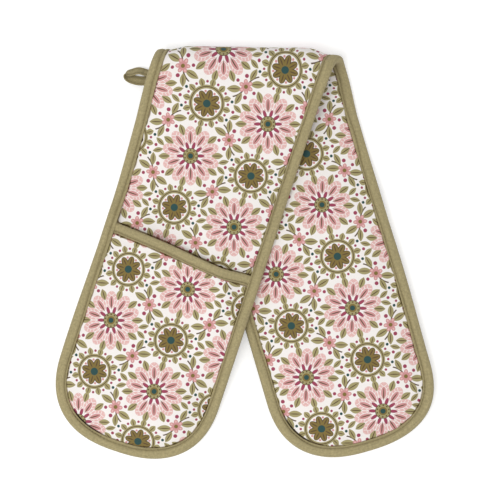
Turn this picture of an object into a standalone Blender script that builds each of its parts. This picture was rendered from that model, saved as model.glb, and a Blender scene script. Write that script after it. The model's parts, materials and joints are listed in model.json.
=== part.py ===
"""Double oven glove: one long padded strip with a hand pocket at each end, all its edges bound with tape.

The strip is folded at its middle and laid down, so its two arms spread like the legs of a V. The upper
arm shows its pocket, and the lower arm lies on its own. Metres, +Z up, +X to the right and +Y towards
the fold, with the origin on the surface that the glove lies on, under the middle of its outline.

Every ply is drawn in the cloth's own coordinates and then laid in place: `along` is the distance from
the strip's middle towards an arm's end, `across` runs over its width, and `out` stands off the strip's
middle ply towards the side that carries the pockets.
"""

import math

import bmesh
import bpy
from mathutils import Matrix, Vector

# The strip as it is cut and bound
STRIP_LENGTH = 0.873
STRIP_WIDTH = 0.173
TIP_LENGTH = 0.078
TIP_EXPONENT = 2.5

# The plies of the strip: cover, wadding, cover
COVER_THICK = 0.0006
WADDING_THICK = 0.0056
WADDING_SEAM_THICK = 0.0026
PLY_GAP = 0.0003

# The tape round the edges
BINDING_WIDTH = 0.0116
BINDING_THICK = 0.0008
BINDING_ROUNDING = 0.0010

# The pockets, measured from the strip's end to the mouth
POCKET_DEPTH = 0.2206
POCKET_SKEW = math.radians(3.1)
POCKET_WADDING_THICK = 0.0032
POCKET_WADDING_SEAM_THICK = 0.0010
MOUTH_BINDING_WIDTH = 0.0115
MOUTH_RAMP = 0.026
MOUTH_LEAD = 0.003
UPPER_HAND_ROOM = 0.0062
LOWER_HAND_ROOM = 0.0049

# How the glove lies; the fold crosses the middle line a little off the strip's middle
FOLD_TILT = math.radians(17.3)
FOLD_OFFSET = 0.0027
FOLD_RADIUS = 0.0155
FOLD_SLIT = 0.0004
HINGE_CLEARANCE = 0.00015
FALL_LENGTH = 0.130
LEAN_LENGTH = 0.065
LEAN_MARGIN = 0.004
ARM_CLEARANCE = 0.0008
CLIMB_LENGTH = 0.075
CLIMB_LEAD = 0.014

# The hanging loop of tape, sewn into the edge near the strip's middle with one end on the other
LOOP_REACH = 0.0455
LOOP_BULGE = 0.0052
LOOP_ROOT_HALF_GAP = 0.0022
LOOP_ROOT_HALF_LIFT = 0.0012
LOOP_TAPE_WIDTH = 0.0098
LOOP_TAPE_THICK = 0.0014
LOOP_ALONG = 0.0065
LOOP_SWAY = math.radians(2.0)
LOOP_HEIGHT = 0.0055
LOOP_SEAM_CLEARANCE = 0.0008
# Shares of the way round the loop, and how far the tape leans off upright there, in degrees
LOOP_LEANS = (
    (0.0, -90.0),
    (0.27, -46.0),
    (0.40, -38.0),
    (0.5, -12.0),
    (0.55, 4.0),
    (0.66, 62.0),
    (0.8, 74.0),
    (1.0, 90.0),
)

# Shares of the inner half width where the columns of the cloth's net stand
COLUMN_SHARES = (-1.0, -0.8, -0.52, -0.26, 0.0, 0.26, 0.52, 0.8, 1.0)
# Shares of the inner half width over which each form dies away towards the seam
PAD_SOFT_SHARE = 0.30
ROOM_SOFT_SHARE = 0.48
EDGE_DROOP_SHARE = 0.35
BELLY_SHARE = 0.08

FOLD_STEPS = 4
BACK_STEPS = 6
POCKET_STEPS = 5
TIP_STEPS = 4
LOOP_STEPS = 26
LOOP_FLAT_SHARE = 0.3

UPPER = -1
LOWER = 1

COLOURS = {
    "cover": (0.80, 0.72, 0.66),
    "backing": (0.80, 0.72, 0.66),
    "wadding": (0.86, 0.85, 0.80),
    "lining": (0.82, 0.80, 0.74),
    "binding": (0.40, 0.35, 0.18),
}
ROUGHNESS = 0.9

# Worked out from the sizes above
WALL = BINDING_THICK + PLY_GAP
FLANGE = BINDING_WIDTH - WALL
MOUTH_FLANGE = MOUTH_BINDING_WIDTH - WALL
HALF_LENGTH = STRIP_LENGTH / 2
INNER_HALF = STRIP_WIDTH / 2 - BINDING_WIDTH
INNER_TIP = TIP_LENGTH - BINDING_WIDTH
TIP_START = HALF_LENGTH - TIP_LENGTH
MOUTH = HALF_LENGTH - POCKET_DEPTH + WALL
BELLY_START = MOUTH + MOUTH_FLANGE + BELLY_SHARE * POCKET_DEPTH
BEND = FOLD_RADIUS * math.pi / 2
SIN_TILT = math.sin(FOLD_TILT)
COS_TILT = math.cos(FOLD_TILT)
PANEL_HALF = WADDING_THICK / 2 + PLY_GAP + COVER_THICK
PANEL_HALF_AT_SEAM = WADDING_SEAM_THICK / 2 + PLY_GAP + COVER_THICK
HINGE_HEIGHT = FOLD_RADIUS + PANEL_HALF


def smooth(share):
    """An even rise from 0 to 1."""
    share = min(max(share, 0.0), 1.0)
    return share * share * (3 - 2 * share)


def blend(low, high, share):
    return low + (high - low) * share


# The net that every ply of an arm is cut from


def straight_rows(side):
    """Each straight row's distance along the middle line, and its slope across the strip."""
    fold_slope = math.tan(FOLD_TILT)
    mouth_slope = -math.tan(POCKET_SKEW)
    rows = []
    for step in range(FOLD_STEPS + 1):
        past_fold = max(BEND * step / FOLD_STEPS, FOLD_SLIT / 2)
        rows.append((past_fold / COS_TILT + side * FOLD_OFFSET, fold_slope))
    bend_end = rows[-1][0]
    ramp_start = MOUTH - MOUTH_RAMP
    for step in range(1, BACK_STEPS + 1):
        share = step / BACK_STEPS
        rows.append((blend(bend_end, ramp_start, share), blend(fold_slope, mouth_slope, share)))
    for distance in (MOUTH - MOUTH_LEAD, MOUTH, MOUTH + MOUTH_FLANGE):
        rows.append((distance, mouth_slope))
    for step in range(POCKET_STEPS):
        share = step / (POCKET_STEPS - 1)
        rows.append((blend(BELLY_START, TIP_START, share), blend(mouth_slope, 0.0, share)))
    return rows


ROWS = {side: straight_rows(side) for side in (UPPER, LOWER)}
STRAIGHT_ROWS = len(ROWS[LOWER])
MOUTH_ROW = STRAIGHT_ROWS - POCKET_STEPS - 2
LAST_ROW = STRAIGHT_ROWS - 1 + TIP_STEPS
LAST_COLUMN = len(COLUMN_SHARES) - 1


def net_point(side, row, column):
    """Where a knot of the net lies in the cloth: along, across, and the way out to the edge."""
    share = COLUMN_SHARES[column]
    if row < STRAIGHT_ROWS:
        middle, slope = ROWS[side][row]
        across = share * INNER_HALF
        outward = math.copysign(1.0, share)
        return (middle + side * slope * across, across), (side * slope * outward, outward)
    up = (row - STRAIGHT_ROWS + 1) / TIP_STEPS
    x = share * math.sqrt(1 - up * up / 2)
    y = up * math.sqrt(1 - share * share / 2)
    reach = (abs(x) ** TIP_EXPONENT + abs(y) ** TIP_EXPONENT) ** (1 / TIP_EXPONENT)
    stretch = math.hypot(x, y) / reach if reach else 1.0
    x, y = x * stretch, y * stretch
    normal = Vector(
        (
            y ** (TIP_EXPONENT - 1) / INNER_TIP,
            math.copysign(abs(x) ** (TIP_EXPONENT - 1), x) / INNER_HALF,
        )
    )
    normal = normal.normalized() if normal.length else Vector((1.0, 0.0))
    return (TIP_START + y * INNER_TIP, x * INNER_HALF), tuple(normal)


def edge_point(side, row, column, outward):
    """The point that lies `outward` of the net's border, measured in the cloth."""
    (along, across), direction = net_point(side, row, column)
    return along + direction[0] * outward, across + direction[1] * outward


def seam_share(along, across):
    """0 on the strip's middle line and 1 on the line where the binding's inner edge lies."""
    x = abs(across) / INNER_HALF
    y = max(along - TIP_START, 0.0) / INNER_TIP
    return min((x**TIP_EXPONENT + y**TIP_EXPONENT) ** (1 / TIP_EXPONENT), 1.0)


def border_chain():
    """The net's border from the fold, round the tip and back to the fold, as rows and columns."""
    left = [(row, 0) for row in range(LAST_ROW + 1)]
    end = [(LAST_ROW, column) for column in range(1, LAST_COLUMN)]
    right = [(row, LAST_COLUMN) for row in range(LAST_ROW, -1, -1)]
    return left + end + right


# The stack of plies, in distance off the middle ply


def half_wadding(seam):
    swell = smooth((1 - seam) / PAD_SOFT_SHARE)
    return blend(WADDING_SEAM_THICK, WADDING_THICK, swell) / 2


def panel_face(seam):
    return half_wadding(seam) + PLY_GAP + COVER_THICK


def mouth_share(row):
    """1 where the mouth's binding wraps the pocket's plies, and 0 in the belly."""
    return 1.0 if MOUTH_ROW - 1 <= row <= MOUTH_ROW + 1 else 0.0


def hand_room(side):
    return UPPER_HAND_ROOM if side == UPPER else LOWER_HAND_ROOM


def pocket_levels(side, row, seam):
    """The faces of the pocket's lining, wadding and cover, from the hand room outwards."""
    room = smooth((1 - seam) / ROOM_SOFT_SHARE)
    swell = smooth((1 - seam) / PAD_SOFT_SHARE) * (1 - mouth_share(row))
    start = panel_face(seam) + PLY_GAP + hand_room(side) * room + mouth_share(row) * WALL
    lining = (start, start + COVER_THICK)
    wadding_start = lining[1] + PLY_GAP
    thick = blend(POCKET_WADDING_SEAM_THICK, POCKET_WADDING_THICK, swell)
    wadding = (wadding_start, wadding_start + thick)
    cover_start = wadding[1] + PLY_GAP
    return {"lining": lining, "wadding": wadding, "cover": (cover_start, cover_start + COVER_THICK)}


def pocket_top(side, row, seam):
    """The outermost face over the pocket, its mouth's binding included."""
    top = pocket_levels(side, row, seam)["cover"][1]
    return top + mouth_share(row) * WALL


def stack_top(side, row, seam):
    """The outermost face of all the plies on the pocket's side."""
    if row < MOUTH_ROW - 1:
        return panel_face(seam)
    return pocket_top(side, row, seam)


# How the folded strip lies

BELLY_TOP = max(pocket_top(LOWER, MOUTH_ROW, 0.0), pocket_top(LOWER, MOUTH_ROW + 2, 0.0))
POCKET_CLIMB = BELLY_TOP - PANEL_HALF


def lower_middle(along, seam):
    """The height of the lower arm's middle ply: on the floor, then up on its own pocket."""
    climb = smooth((along - (MOUTH - CLIMB_LEAD - CLIMB_LENGTH)) / CLIMB_LENGTH)
    droop = EDGE_DROOP_SHARE * smooth((seam - (1 - ROOM_SOFT_SHARE)) / ROOM_SOFT_SHARE)
    return PANEL_HALF + POCKET_CLIMB * climb * (1 - droop)


def upper_middle(aside, past_fold):
    """The height of the upper arm's middle ply, which falls from the fold and leans on the lower arm."""
    along = aside * SIN_TILT + past_fold * COS_TILT + FOLD_OFFSET
    across = aside * COS_TILT - past_fold * SIN_TILT
    inside = across + STRIP_WIDTH / 2
    lower_top = lower_middle(along, seam_share(along, across)) + PANEL_HALF + ARM_CLEARANCE
    lean = smooth((inside + LEAN_LENGTH) / (LEAN_LENGTH - LEAN_MARGIN))
    fall = 1 - smooth((past_fold - BEND) / FALL_LENGTH)
    at_fold = HINGE_HEIGHT + FOLD_RADIUS - PANEL_HALF
    return PANEL_HALF + blend(lower_top * lean, at_fold, fall)


def arm_reach(side):
    """How far an arm reaches past the fold line, square to it, and out to its own side along it."""
    past_fold = 0.0
    aside = 0.0
    for row, column in border_chain():
        along, across = edge_point(side, row, column, FLANGE + WALL)
        off_fold = along - side * FOLD_OFFSET
        past_fold = max(past_fold, off_fold * COS_TILT - side * across * SIN_TILT)
        aside = max(aside, off_fold * SIN_TILT + side * across * COS_TILT)
    return past_fold, aside


REACH = {side: arm_reach(side) for side in (UPPER, LOWER)}
FOLD_X = (REACH[UPPER][1] - REACH[LOWER][1]) / 2
FOLD_Y = (REACH[UPPER][0] - BEND - FOLD_RADIUS - PANEL_HALF) / 2
HINGE = Vector((FOLD_X, FOLD_Y + FOLD_RADIUS + PANEL_HALF + HINGE_CLEARANCE, HINGE_HEIGHT))


def lay(side, along, across, out):
    """A point of the cloth, laid in its place."""
    off_fold = along - side * FOLD_OFFSET
    aside = side * off_fold * SIN_TILT + across * COS_TILT
    past_fold = off_fold * COS_TILT - side * across * SIN_TILT
    x = FOLD_X + aside
    if past_fold < BEND:
        turn = past_fold / FOLD_RADIUS
        radius = FOLD_RADIUS + out
        return Vector((x, FOLD_Y + radius * math.cos(turn), HINGE_HEIGHT - side * radius * math.sin(turn)))
    y = FOLD_Y - (past_fold - BEND)
    if side == UPPER:
        return Vector((x, y, upper_middle(aside, past_fold) + out))
    return Vector((x, y, lower_middle(along, seam_share(along, across)) - out))


# Making the pieces


def cloth_material(name, kind):
    material = bpy.data.materials.new(name)
    material.use_nodes = True
    shader = material.node_tree.nodes["Principled BSDF"]
    shader.inputs["Base Color"].default_value = (*COLOURS[kind], 1.0)
    shader.inputs["Roughness"].default_value = ROUGHNESS
    shader.inputs["Metallic"].default_value = 0.0
    material.diffuse_color = (*COLOURS[kind], 1.0)
    return material


def finish(name, kind, shape, holder=None):
    """Turn a closed shape into the named object, carried by the empty on its joint if it moves."""
    bmesh.ops.recalc_face_normals(shape, faces=shape.faces[:])
    if shape.calc_volume(signed=True) < 0:
        bmesh.ops.reverse_faces(shape, faces=shape.faces[:])
    mesh = bpy.data.meshes.new(name)
    shape.to_mesh(mesh)
    shape.free()
    if holder:
        mesh.transform(Matrix.Translation(-holder.location))
    mesh.shade_smooth()
    mesh.set_sharp_from_angle(angle=math.radians(40.0))
    mesh.materials.append(cloth_material(name, kind))
    piece = bpy.data.objects.new(name, mesh)
    piece.parent = holder
    bpy.context.scene.collection.objects.link(piece)
    return piece


def joint_empty(name, place):
    empty = bpy.data.objects.new(name, None)
    empty.location = place
    bpy.context.scene.collection.objects.link(empty)
    return empty


def ply(name, kind, side, first_row, levels, holder=None):
    """One ply of cloth or wadding, cut flush with the others at the edge, from a row to the tip."""
    shape = bmesh.new()
    bmesh.ops.create_grid(shape, x_segments=LAST_COLUMN, y_segments=LAST_ROW - first_row, size=1.0)
    row_of = shape.verts.layers.int.new("row")
    column_of = shape.verts.layers.int.new("column")
    ring_of = shape.verts.layers.int.new("ring")
    face_of = shape.verts.layers.int.new("face")
    for knot in shape.verts:
        knot[column_of] = round((knot.co.x + 1) / 2 * LAST_COLUMN)
        knot[row_of] = first_row + round((knot.co.y + 1) / 2 * (LAST_ROW - first_row))
    border = [
        edge for edge in shape.edges
        if edge.is_boundary and any(knot[row_of] > first_row for knot in edge.verts)
    ]
    for item in bmesh.ops.extrude_edge_only(shape, edges=border)["geom"]:
        if isinstance(item, bmesh.types.BMVert):
            item[ring_of] = 1
    for knot in shape.verts:
        along, across = edge_point(side, knot[row_of], knot[column_of], knot[ring_of] * FLANGE)
        knot.co = (along, across, 0.0)
    bmesh.ops.triangulate(shape, faces=shape.faces[:], quad_method="SHORT_EDGE")
    for item in bmesh.ops.extrude_face_region(shape, geom=shape.faces[:])["geom"]:
        if isinstance(item, bmesh.types.BMVert):
            item[face_of] = 1
    for knot in shape.verts:
        knot.co.z = levels(knot[row_of], seam_share(knot.co.x, knot.co.y))[knot[face_of]]
    lay_down(shape, side)
    return finish(name, kind, shape, holder)


def lay_down(shape, side):
    """Cut every face into triangles while the cloth is flat, so that all plies bend alike, and lay it."""
    bmesh.ops.triangulate(shape, faces=shape.faces[:], quad_method="SHORT_EDGE", ngon_method="EAR_CLIP")
    for knot in shape.verts:
        knot.co = lay(side, *knot.co)


def swept_tape(stations):
    """One unbroken tape: the closed outline at the first station, drawn through all the others."""
    shape = bmesh.new()
    corner_of = shape.verts.layers.int.new("corner")
    corners = [shape.verts.new(point) for point in stations[0]]
    for index, corner in enumerate(corners):
        corner[corner_of] = index
    end = shape.faces.new(corners)
    for count, points in enumerate(stations[1:]):
        grown = bmesh.ops.extrude_face_region(shape, geom=[end])["geom"]
        if count:
            bmesh.ops.delete(shape, geom=[end], context="FACES_ONLY")
        end = next(item for item in grown if isinstance(item, bmesh.types.BMFace))
        for corner in end.verts:
            corner.co = points[corner[corner_of]]
    return shape


def wrap_outline(flange, inner_low, inner_high):
    """The section of a tape folded round an edge, as distances in from the edge and levels."""
    low = inner_low - BINDING_THICK
    high = inner_high + BINDING_THICK
    return (
        (flange, inner_high),
        (flange, high),
        (0.0, high),
        (-WALL, high - BINDING_ROUNDING),
        (-WALL, low + BINDING_ROUNDING),
        (0.0, low),
        (flange, low),
        (flange, inner_low),
        (0.0, inner_low),
        (-PLY_GAP, inner_low),
        (-PLY_GAP, inner_high),
        (0.0, inner_high),
    )


def edge_binding(name, side, holder=None):
    """The tape round an arm's edge, from the fold round the tip and back to the fold."""
    stations = []
    back = -PANEL_HALF_AT_SEAM - PLY_GAP
    for row, column in border_chain():
        front = stack_top(side, row, 1.0) + PLY_GAP
        points = []
        for inward, out in wrap_outline(FLANGE, back, front):
            points.append((*edge_point(side, row, column, FLANGE - inward), out))
        stations.append(points)
    tape = swept_tape(stations)
    lay_down(tape, side)
    return finish(name, "binding", tape, holder)


def mouth_binding(name, side, holder=None):
    """The tape round the pocket's mouth, from one side seam to the other."""
    stations = []
    knots = [(0, FLANGE)] + [(column, 0.0) for column in range(LAST_COLUMN + 1)] + [(LAST_COLUMN, FLANGE)]
    for column, outward in knots:
        along, across = edge_point(side, MOUTH_ROW, column, outward)
        levels = pocket_levels(side, MOUTH_ROW, seam_share(along, across))
        outline = wrap_outline(MOUTH_FLANGE, levels["lining"][0] - PLY_GAP, levels["cover"][1] + PLY_GAP)
        stations.append([(along + inward, across, out) for inward, out in outline])
    tape = swept_tape(stations)
    lay_down(tape, side)
    return finish(name, "binding", tape, holder)


def panel(prefix, side, holder=None):
    """The padded strip itself, from the fold to the tip."""

    def wadding(row, seam):
        return -half_wadding(seam), half_wadding(seam)

    def front(row, seam):
        return panel_face(seam) - COVER_THICK, panel_face(seam)

    def back(row, seam):
        return -panel_face(seam), COVER_THICK - panel_face(seam)

    ply(prefix + "_front_cover", "cover", side, 0, front, holder)
    ply(prefix + "_wadding", "wadding", side, 0, wadding, holder)
    ply(prefix + "_back_cover", "backing", side, 0, back, holder)
    edge_binding(prefix + "_edge_binding", side, holder)


def pocket(prefix, side, holder=None):
    """The hand pocket at an arm's end: cover, wadding and lining, with its mouth bound."""

    def level_of(layer):
        return lambda row, seam: pocket_levels(side, row, seam)[layer]

    ply(prefix + "_pocket_cover", "cover", side, MOUTH_ROW, level_of("cover"), holder)
    ply(prefix + "_pocket_wadding", "wadding", side, MOUTH_ROW, level_of("wadding"), holder)
    ply(prefix + "_pocket_lining", "lining", side, MOUTH_ROW, level_of("lining"), holder)
    mouth_binding(prefix + "_pocket_binding", side, holder)


def loop_root():
    """Where the loop's two ends leave the lower arm's edge, and the way that it points."""
    across = -STRIP_WIDTH / 2
    edge = lay(LOWER, LOOP_ALONG, across, 0.0)
    heading = math.pi + LOOP_SWAY
    outward = Vector((math.cos(heading), math.sin(heading), 0.0))
    seam_normal = Vector((-COS_TILT, -SIN_TILT, 0.0))
    place = Vector((edge.x, edge.y, LOOP_HEIGHT))
    return place, outward, seam_normal


def lean_at(share):
    """How far the loop's tape leans off upright, at a share of the way round."""
    for (start, lean), (end, next_lean) in zip(LOOP_LEANS, LOOP_LEANS[1:]):
        if share <= end:
            break
    return math.radians(blend(lean, next_lean, smooth((share - start) / (end - start))))


def hanging_loop(name, root, outward, seam_normal, holder):
    """A tape bent into a drop-shaped eye, its outer face up on the way out, its inner face up on the way back."""
    up = Vector((0.0, 0.0, 1.0))
    sideways = outward.cross(up)
    along_seam = seam_normal.cross(up)
    centres = []
    for step in range(LOOP_STEPS + 1):
        turn = 2 * math.pi * step / LOOP_STEPS
        reach = LOOP_REACH * (1 - math.cos(turn)) / 2
        swing = LOOP_BULGE * math.sin(turn) * math.sin(turn / 2)
        part = math.cos(turn / 2)
        apart = along_seam * LOOP_ROOT_HALF_GAP + up * LOOP_ROOT_HALF_LIFT
        centres.append(root + outward * reach + sideways * swing + apart * part)
    stations = []
    for step, centre in enumerate(centres):
        free = smooth(min(step, LOOP_STEPS - step) / (LOOP_FLAT_SHARE * LOOP_STEPS))
        ahead = centres[min(step + 1, LOOP_STEPS)] - centres[max(step - 1, 0)]
        straight = seam_normal if step < LOOP_STEPS / 2 else -seam_normal
        level_side = up.cross(blend(straight, ahead.normalized(), free)).normalized()
        lean = lean_at(step / LOOP_STEPS)
        half_wide = (up * math.cos(lean) + level_side * -math.sin(lean)) * LOOP_TAPE_WIDTH / 2
        half_thick = (up * math.sin(lean) + level_side * math.cos(lean)) * LOOP_TAPE_THICK / 2
        flat_wide = half_wide * (1 - LOOP_TAPE_THICK / LOOP_TAPE_WIDTH)
        stations.append(
            [
                centre + flat_wide + half_thick,
                centre + half_wide,
                centre + flat_wide - half_thick,
                centre - flat_wide - half_thick,
                centre - half_wide,
                centre - flat_wide + half_thick,
            ]
        )
    return finish(name, "binding", swept_tape(stations), holder)


def main():
    for item in list(bpy.data.objects):
        bpy.data.objects.remove(item, do_unlink=True)
    fold_axis = joint_empty("fold_axis", HINGE)
    root, outward, seam_normal = loop_root()
    loop_axis = joint_empty("loop_axis", root)
    panel("lower", LOWER)
    pocket("lower", LOWER)
    panel("upper", UPPER, fold_axis)
    pocket("upper", UPPER, fold_axis)
    loop_start = root + seam_normal * LOOP_SEAM_CLEARANCE
    hanging_loop("hanging_loop", loop_start, outward, seam_normal, loop_axis)


main()
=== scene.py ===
"""The looks of a double oven glove, dressed round its CAD frame.

The glove is one padded strip of printed cotton with a hand pocket at each end. Every piece of cloth is made
flat, in the cloth's own coordinates, and then laid as the strip lies: `across` runs over the strip's width,
`lengthways` runs from the strip's middle, negative on the upper arm and positive on the lower one, and `out`
stands off the middle ply towards the side that carries the pockets. Metres, +Z up.
"""

import json
import math

import bmesh
import bpy
from bpy.props import FloatProperty, FloatVectorProperty, PointerProperty
from mathutils import Matrix, Vector, noise


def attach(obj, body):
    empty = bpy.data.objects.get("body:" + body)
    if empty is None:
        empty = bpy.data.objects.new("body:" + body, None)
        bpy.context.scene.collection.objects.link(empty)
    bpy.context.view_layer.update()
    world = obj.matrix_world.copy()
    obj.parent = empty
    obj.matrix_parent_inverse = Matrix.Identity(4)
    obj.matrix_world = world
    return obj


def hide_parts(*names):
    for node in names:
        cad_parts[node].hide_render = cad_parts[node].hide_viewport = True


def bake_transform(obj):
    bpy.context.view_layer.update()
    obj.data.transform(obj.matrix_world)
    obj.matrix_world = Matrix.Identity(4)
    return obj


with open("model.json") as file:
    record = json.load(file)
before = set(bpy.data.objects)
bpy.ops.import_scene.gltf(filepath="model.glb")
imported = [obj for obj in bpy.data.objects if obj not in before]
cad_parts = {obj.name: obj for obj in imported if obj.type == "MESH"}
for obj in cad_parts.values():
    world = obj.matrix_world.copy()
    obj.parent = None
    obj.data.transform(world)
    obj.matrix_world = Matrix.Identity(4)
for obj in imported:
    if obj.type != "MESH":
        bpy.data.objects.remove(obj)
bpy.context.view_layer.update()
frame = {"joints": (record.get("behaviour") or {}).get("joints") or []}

bl_info = {
    "name": "Double oven glove",
    "version": (1, 0, 0),
    "blender": (4, 5, 0),
    "location": "3D View > Sidebar > Oven glove",
    "description": "Covers, wadding, pockets, bound edges and hanging loop of a folded double oven glove",
    "category": "Object",
}

FOLD_PLACE = Vector(next(joint for joint in frame["joints"] if joint["name"] == "fold")["pos_m"])
LOOP_PLACE = Vector(next(joint for joint in frame["joints"] if joint["name"] == "loop_swing")["pos_m"])

LOWER = 1
UPPER = -1
ARM_NAMES = {LOWER: "lower", UPPER: "upper"}
MILLIMETRE = 0.001


# Sizes and colours


def length(name, description, default):
    return FloatProperty(name=name, description=description, default=default, unit="LENGTH", precision=5)


def angle(name, description, degrees):
    return FloatProperty(name=name, description=description, default=math.radians(degrees), subtype="ANGLE")


def share(name, description, default):
    return FloatProperty(name=name, description=description, default=default, min=0.0, max=4.0)


def colour(name, description, default):
    return FloatVectorProperty(
        name=name, description=description, default=default, subtype="COLOR", size=3, min=0.0, max=1.0
    )


class GloveStrip(bpy.types.PropertyGroup):
    """The padded strip, as it is cut and sewn."""

    long: length("Length", "The strip from tip to tip, lying flat", 0.873)
    wide: length("Width", "The strip over its bindings", 0.173)
    tip: length("Tip length", "How far the rounded end reaches", 0.078)
    tip_squareness: share("Tip squareness", "2 is an ellipse, and more is squarer", 2.5)
    cover: length("Cover", "Thickness of the printed cotton", 0.0006)
    wadding: length("Wadding", "Thickness of the wadding in the belly", 0.0056)
    wadding_at_seam: length("Wadding at the seam", "Thickness where the seam presses it", 0.0026)
    ply_gap: length("Ply gap", "Air between two plies", 0.0003)
    pad_softness: share("Pad softness", "Share of the half width over which the pad thins to its seam", 0.30)
    swell: length("Swell", "How far the pad may puff up between its seams", 0.0016)


class GlovePocket(bpy.types.PropertyGroup):
    """The hand pocket at each end."""

    depth: length("Depth", "From the strip's end to the mouth", 0.2206)
    skew: angle("Skew", "How far the mouth runs off square", 3.1)
    wadding: length("Wadding", "Thickness of the pocket's wadding", 0.0032)
    wadding_at_seam: length("Wadding at the seam", "Thickness where the seam presses it", 0.0010)
    upper_room: length("Room in the upper pocket", "Height left for a hand", 0.0062)
    lower_room: length("Room in the lower pocket", "Height left for a hand", 0.0049)
    room_softness: share("Room softness", "Share of the half width over which the room closes", 0.48)
    mouth_lead: length("Mouth lead", "Where the edge has reached the mouth's height", 0.003)
    mouth_ramp: length("Mouth ramp", "Over which the edge climbs to the mouth", 0.026)
    belly: share("Belly start", "Share of the depth between the mouth's tape and the belly", 0.08)
    swell: length("Swell", "How far the pocket may puff up", 0.0014)
    gape: length("Gape", "How far the upper pocket's mouth stands open", 0.0032)
    gape_at: length("Gape place", "Where the mouth stands open widest, across the strip", -0.029)
    gape_wide: length("Gape width", "Over which the mouth closes again, to either side", 0.026)
    sag_all: length("Drawn in", "How far the whole upper mouth is drawn towards the tip", 0.0009)
    sag: length("Sag", "How much further the mouth hangs at its lowest place", 0.0033)
    sag_at: length("Sag place", "Where the mouth hangs lowest, across the strip", 0.045)
    sag_from: length("Sag start", "Where the mouth begins to hang, across the strip", -0.030)


class GloveBinding(bpy.types.PropertyGroup):
    """The cotton tape that wraps every edge."""

    wide: length("Width", "From the outer edge to the tape's inner edge", 0.0116)
    mouth_wide: length("Width at the mouth", "The tape along a pocket's mouth", 0.0115)
    thick: length("Thickness", "The folded tape", 0.0008)
    plump: length("Plumpness", "How far the tape stands up between its stitches and the edge", 0.0010)
    roundness: share("Roundness", "2 is an ellipse, and more is squarer", 2.5)
    stitch_inset: length("Stitch inset", "From the inner edge to the nearest stitches", 0.0018)
    stitch_wander: length("Stitch wander", "How much further in the stitches wander", 0.0022)
    lip: length("Lip", "How far the tape's inner edge stands up where it is widest", 0.0007)
    stitch_long: length("Stitch length", "One stitch on the surface", 0.0026)
    stitch_pitch: length("Stitch pitch", "From one stitch to the next", 0.0034)
    thread: length("Thread", "Thickness of the sewing thread", 0.00042)


class GloveLie(bpy.types.PropertyGroup):
    """How the folded strip lies."""

    tilt: angle("Fold tilt", "The fold's turn from square", 17.3)
    offset: length("Fold offset", "From the strip's middle to the fold, along the middle line", 0.0027)
    hinge_clearance: length("Hinge clearance", "From the cloth's outer face to the joint's axis", 0.00015)
    fall: length("Fall", "Over which the upper arm comes down from the fold", 0.130)
    lean: length("Lean", "Over which the upper arm comes down beside the lower one", 0.065)
    lean_margin: length("Lean margin", "Flat stretch beside the lower arm's edge", 0.004)
    arm_clearance: length("Arm clearance", "Air between the two arms", 0.0008)
    climb: length("Climb", "Over which the lower arm climbs on its own pocket", 0.075)
    climb_lead: length("Climb lead", "The climb ends this far before the mouth", 0.014)
    droop: share("Droop", "Share of the climb that the edges lose", 0.35)
    split: length("Split", "Flat cloth that the fold's own stretch takes past each bend", 0.006)
    slack: length("Slack", "How far the fold's right end hangs back from its line", 0.0036)
    slack_over: length("Slack width", "Stretch of the fold that hangs back", 0.040)
    crown: length("Crown", "How far the fold bows out between its two edges", 0.0016)
    crown_over: length("Crown rise", "Over which the fold bows out, from either edge", 0.032)


class GloveLoop(bpy.types.PropertyGroup):
    """The hanging loop of folded tape."""

    reach: length("Reach", "From the seam to the loop's end", 0.0455)
    root_gap: length("Root gap", "Half the distance between the tape's two ends, along the seam", 0.0022)
    root_lift: length("Root lift", "Half the height between the tape's two ends", 0.0012)
    wide: length("Tape width", "The folded tape", 0.0098)
    thick: length("Tape thickness", "The folded tape", 0.0014)
    seam_clearance: length("Seam clearance", "Air between the tape's ends and the seam", 0.0008)


class GlovePrint(bpy.types.PropertyGroup):
    """The generic floral print, repeated in half drop."""

    repeat_wide: length("Repeat width", "From one rosette to the next across", 0.130)
    repeat_long: length("Repeat length", "From one rosette to the next lengthways", 0.110)
    ground: colour("Ground", "The cotton's white", (0.895, 0.850, 0.818))
    blush: colour("Blush", "The large petals", (0.770, 0.480, 0.455))
    rose: colour("Rose", "The petals' hearts", (0.620, 0.295, 0.290))
    maroon: colour("Maroon", "Berries and strokes", (0.330, 0.060, 0.105))
    olive: colour("Olive", "Blossoms", (0.215, 0.155, 0.045))
    umber: colour("Umber", "Stems and veins", (0.105, 0.066, 0.034))
    khaki: colour("Khaki", "Leaves", (0.365, 0.318, 0.150))
    bottle: colour("Dark green", "Hearts of the blossoms and beads", (0.028, 0.075, 0.072))


class GloveCloths(bpy.types.PropertyGroup):
    """The plain cloths."""

    tape: colour("Tape", "The binding's khaki", (0.385, 0.325, 0.170))
    thread: colour("Thread", "The sewing thread", (0.320, 0.270, 0.140))
    lining: colour("Lining", "The undyed cotton in the pockets", (0.780, 0.745, 0.660))
    wadding: colour("Wadding", "The fibre between the covers", (0.860, 0.850, 0.800))


class GloveStage(bpy.types.PropertyGroup):
    """Floor, light and camera."""

    camera_height: length("Camera height", "Above the floor", 1.6)
    view_wide: length("View width", "What the picture takes in, on the floor", 0.5174)
    view_x: length("View centre X", "The floor under the picture's middle", 0.0045)
    view_y: length("View centre Y", "The floor under the picture's middle", 0.0062)
    roll: angle("Roll", "The camera's turn about its own line of sight", 0.957)
    key_power: FloatProperty(name="Key light", description="Power of the soft key light", default=15.0)
    world_strength: FloatProperty(name="Surround", description="Strength of the even surround", default=0.70)


GROUPS = {
    "glove_strip": GloveStrip,
    "glove_pocket": GlovePocket,
    "glove_binding": GloveBinding,
    "glove_lie": GloveLie,
    "glove_loop": GloveLoop,
    "glove_print": GlovePrint,
    "glove_cloths": GloveCloths,
    "glove_stage": GloveStage,
}


# The cloth's own geometry


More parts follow.
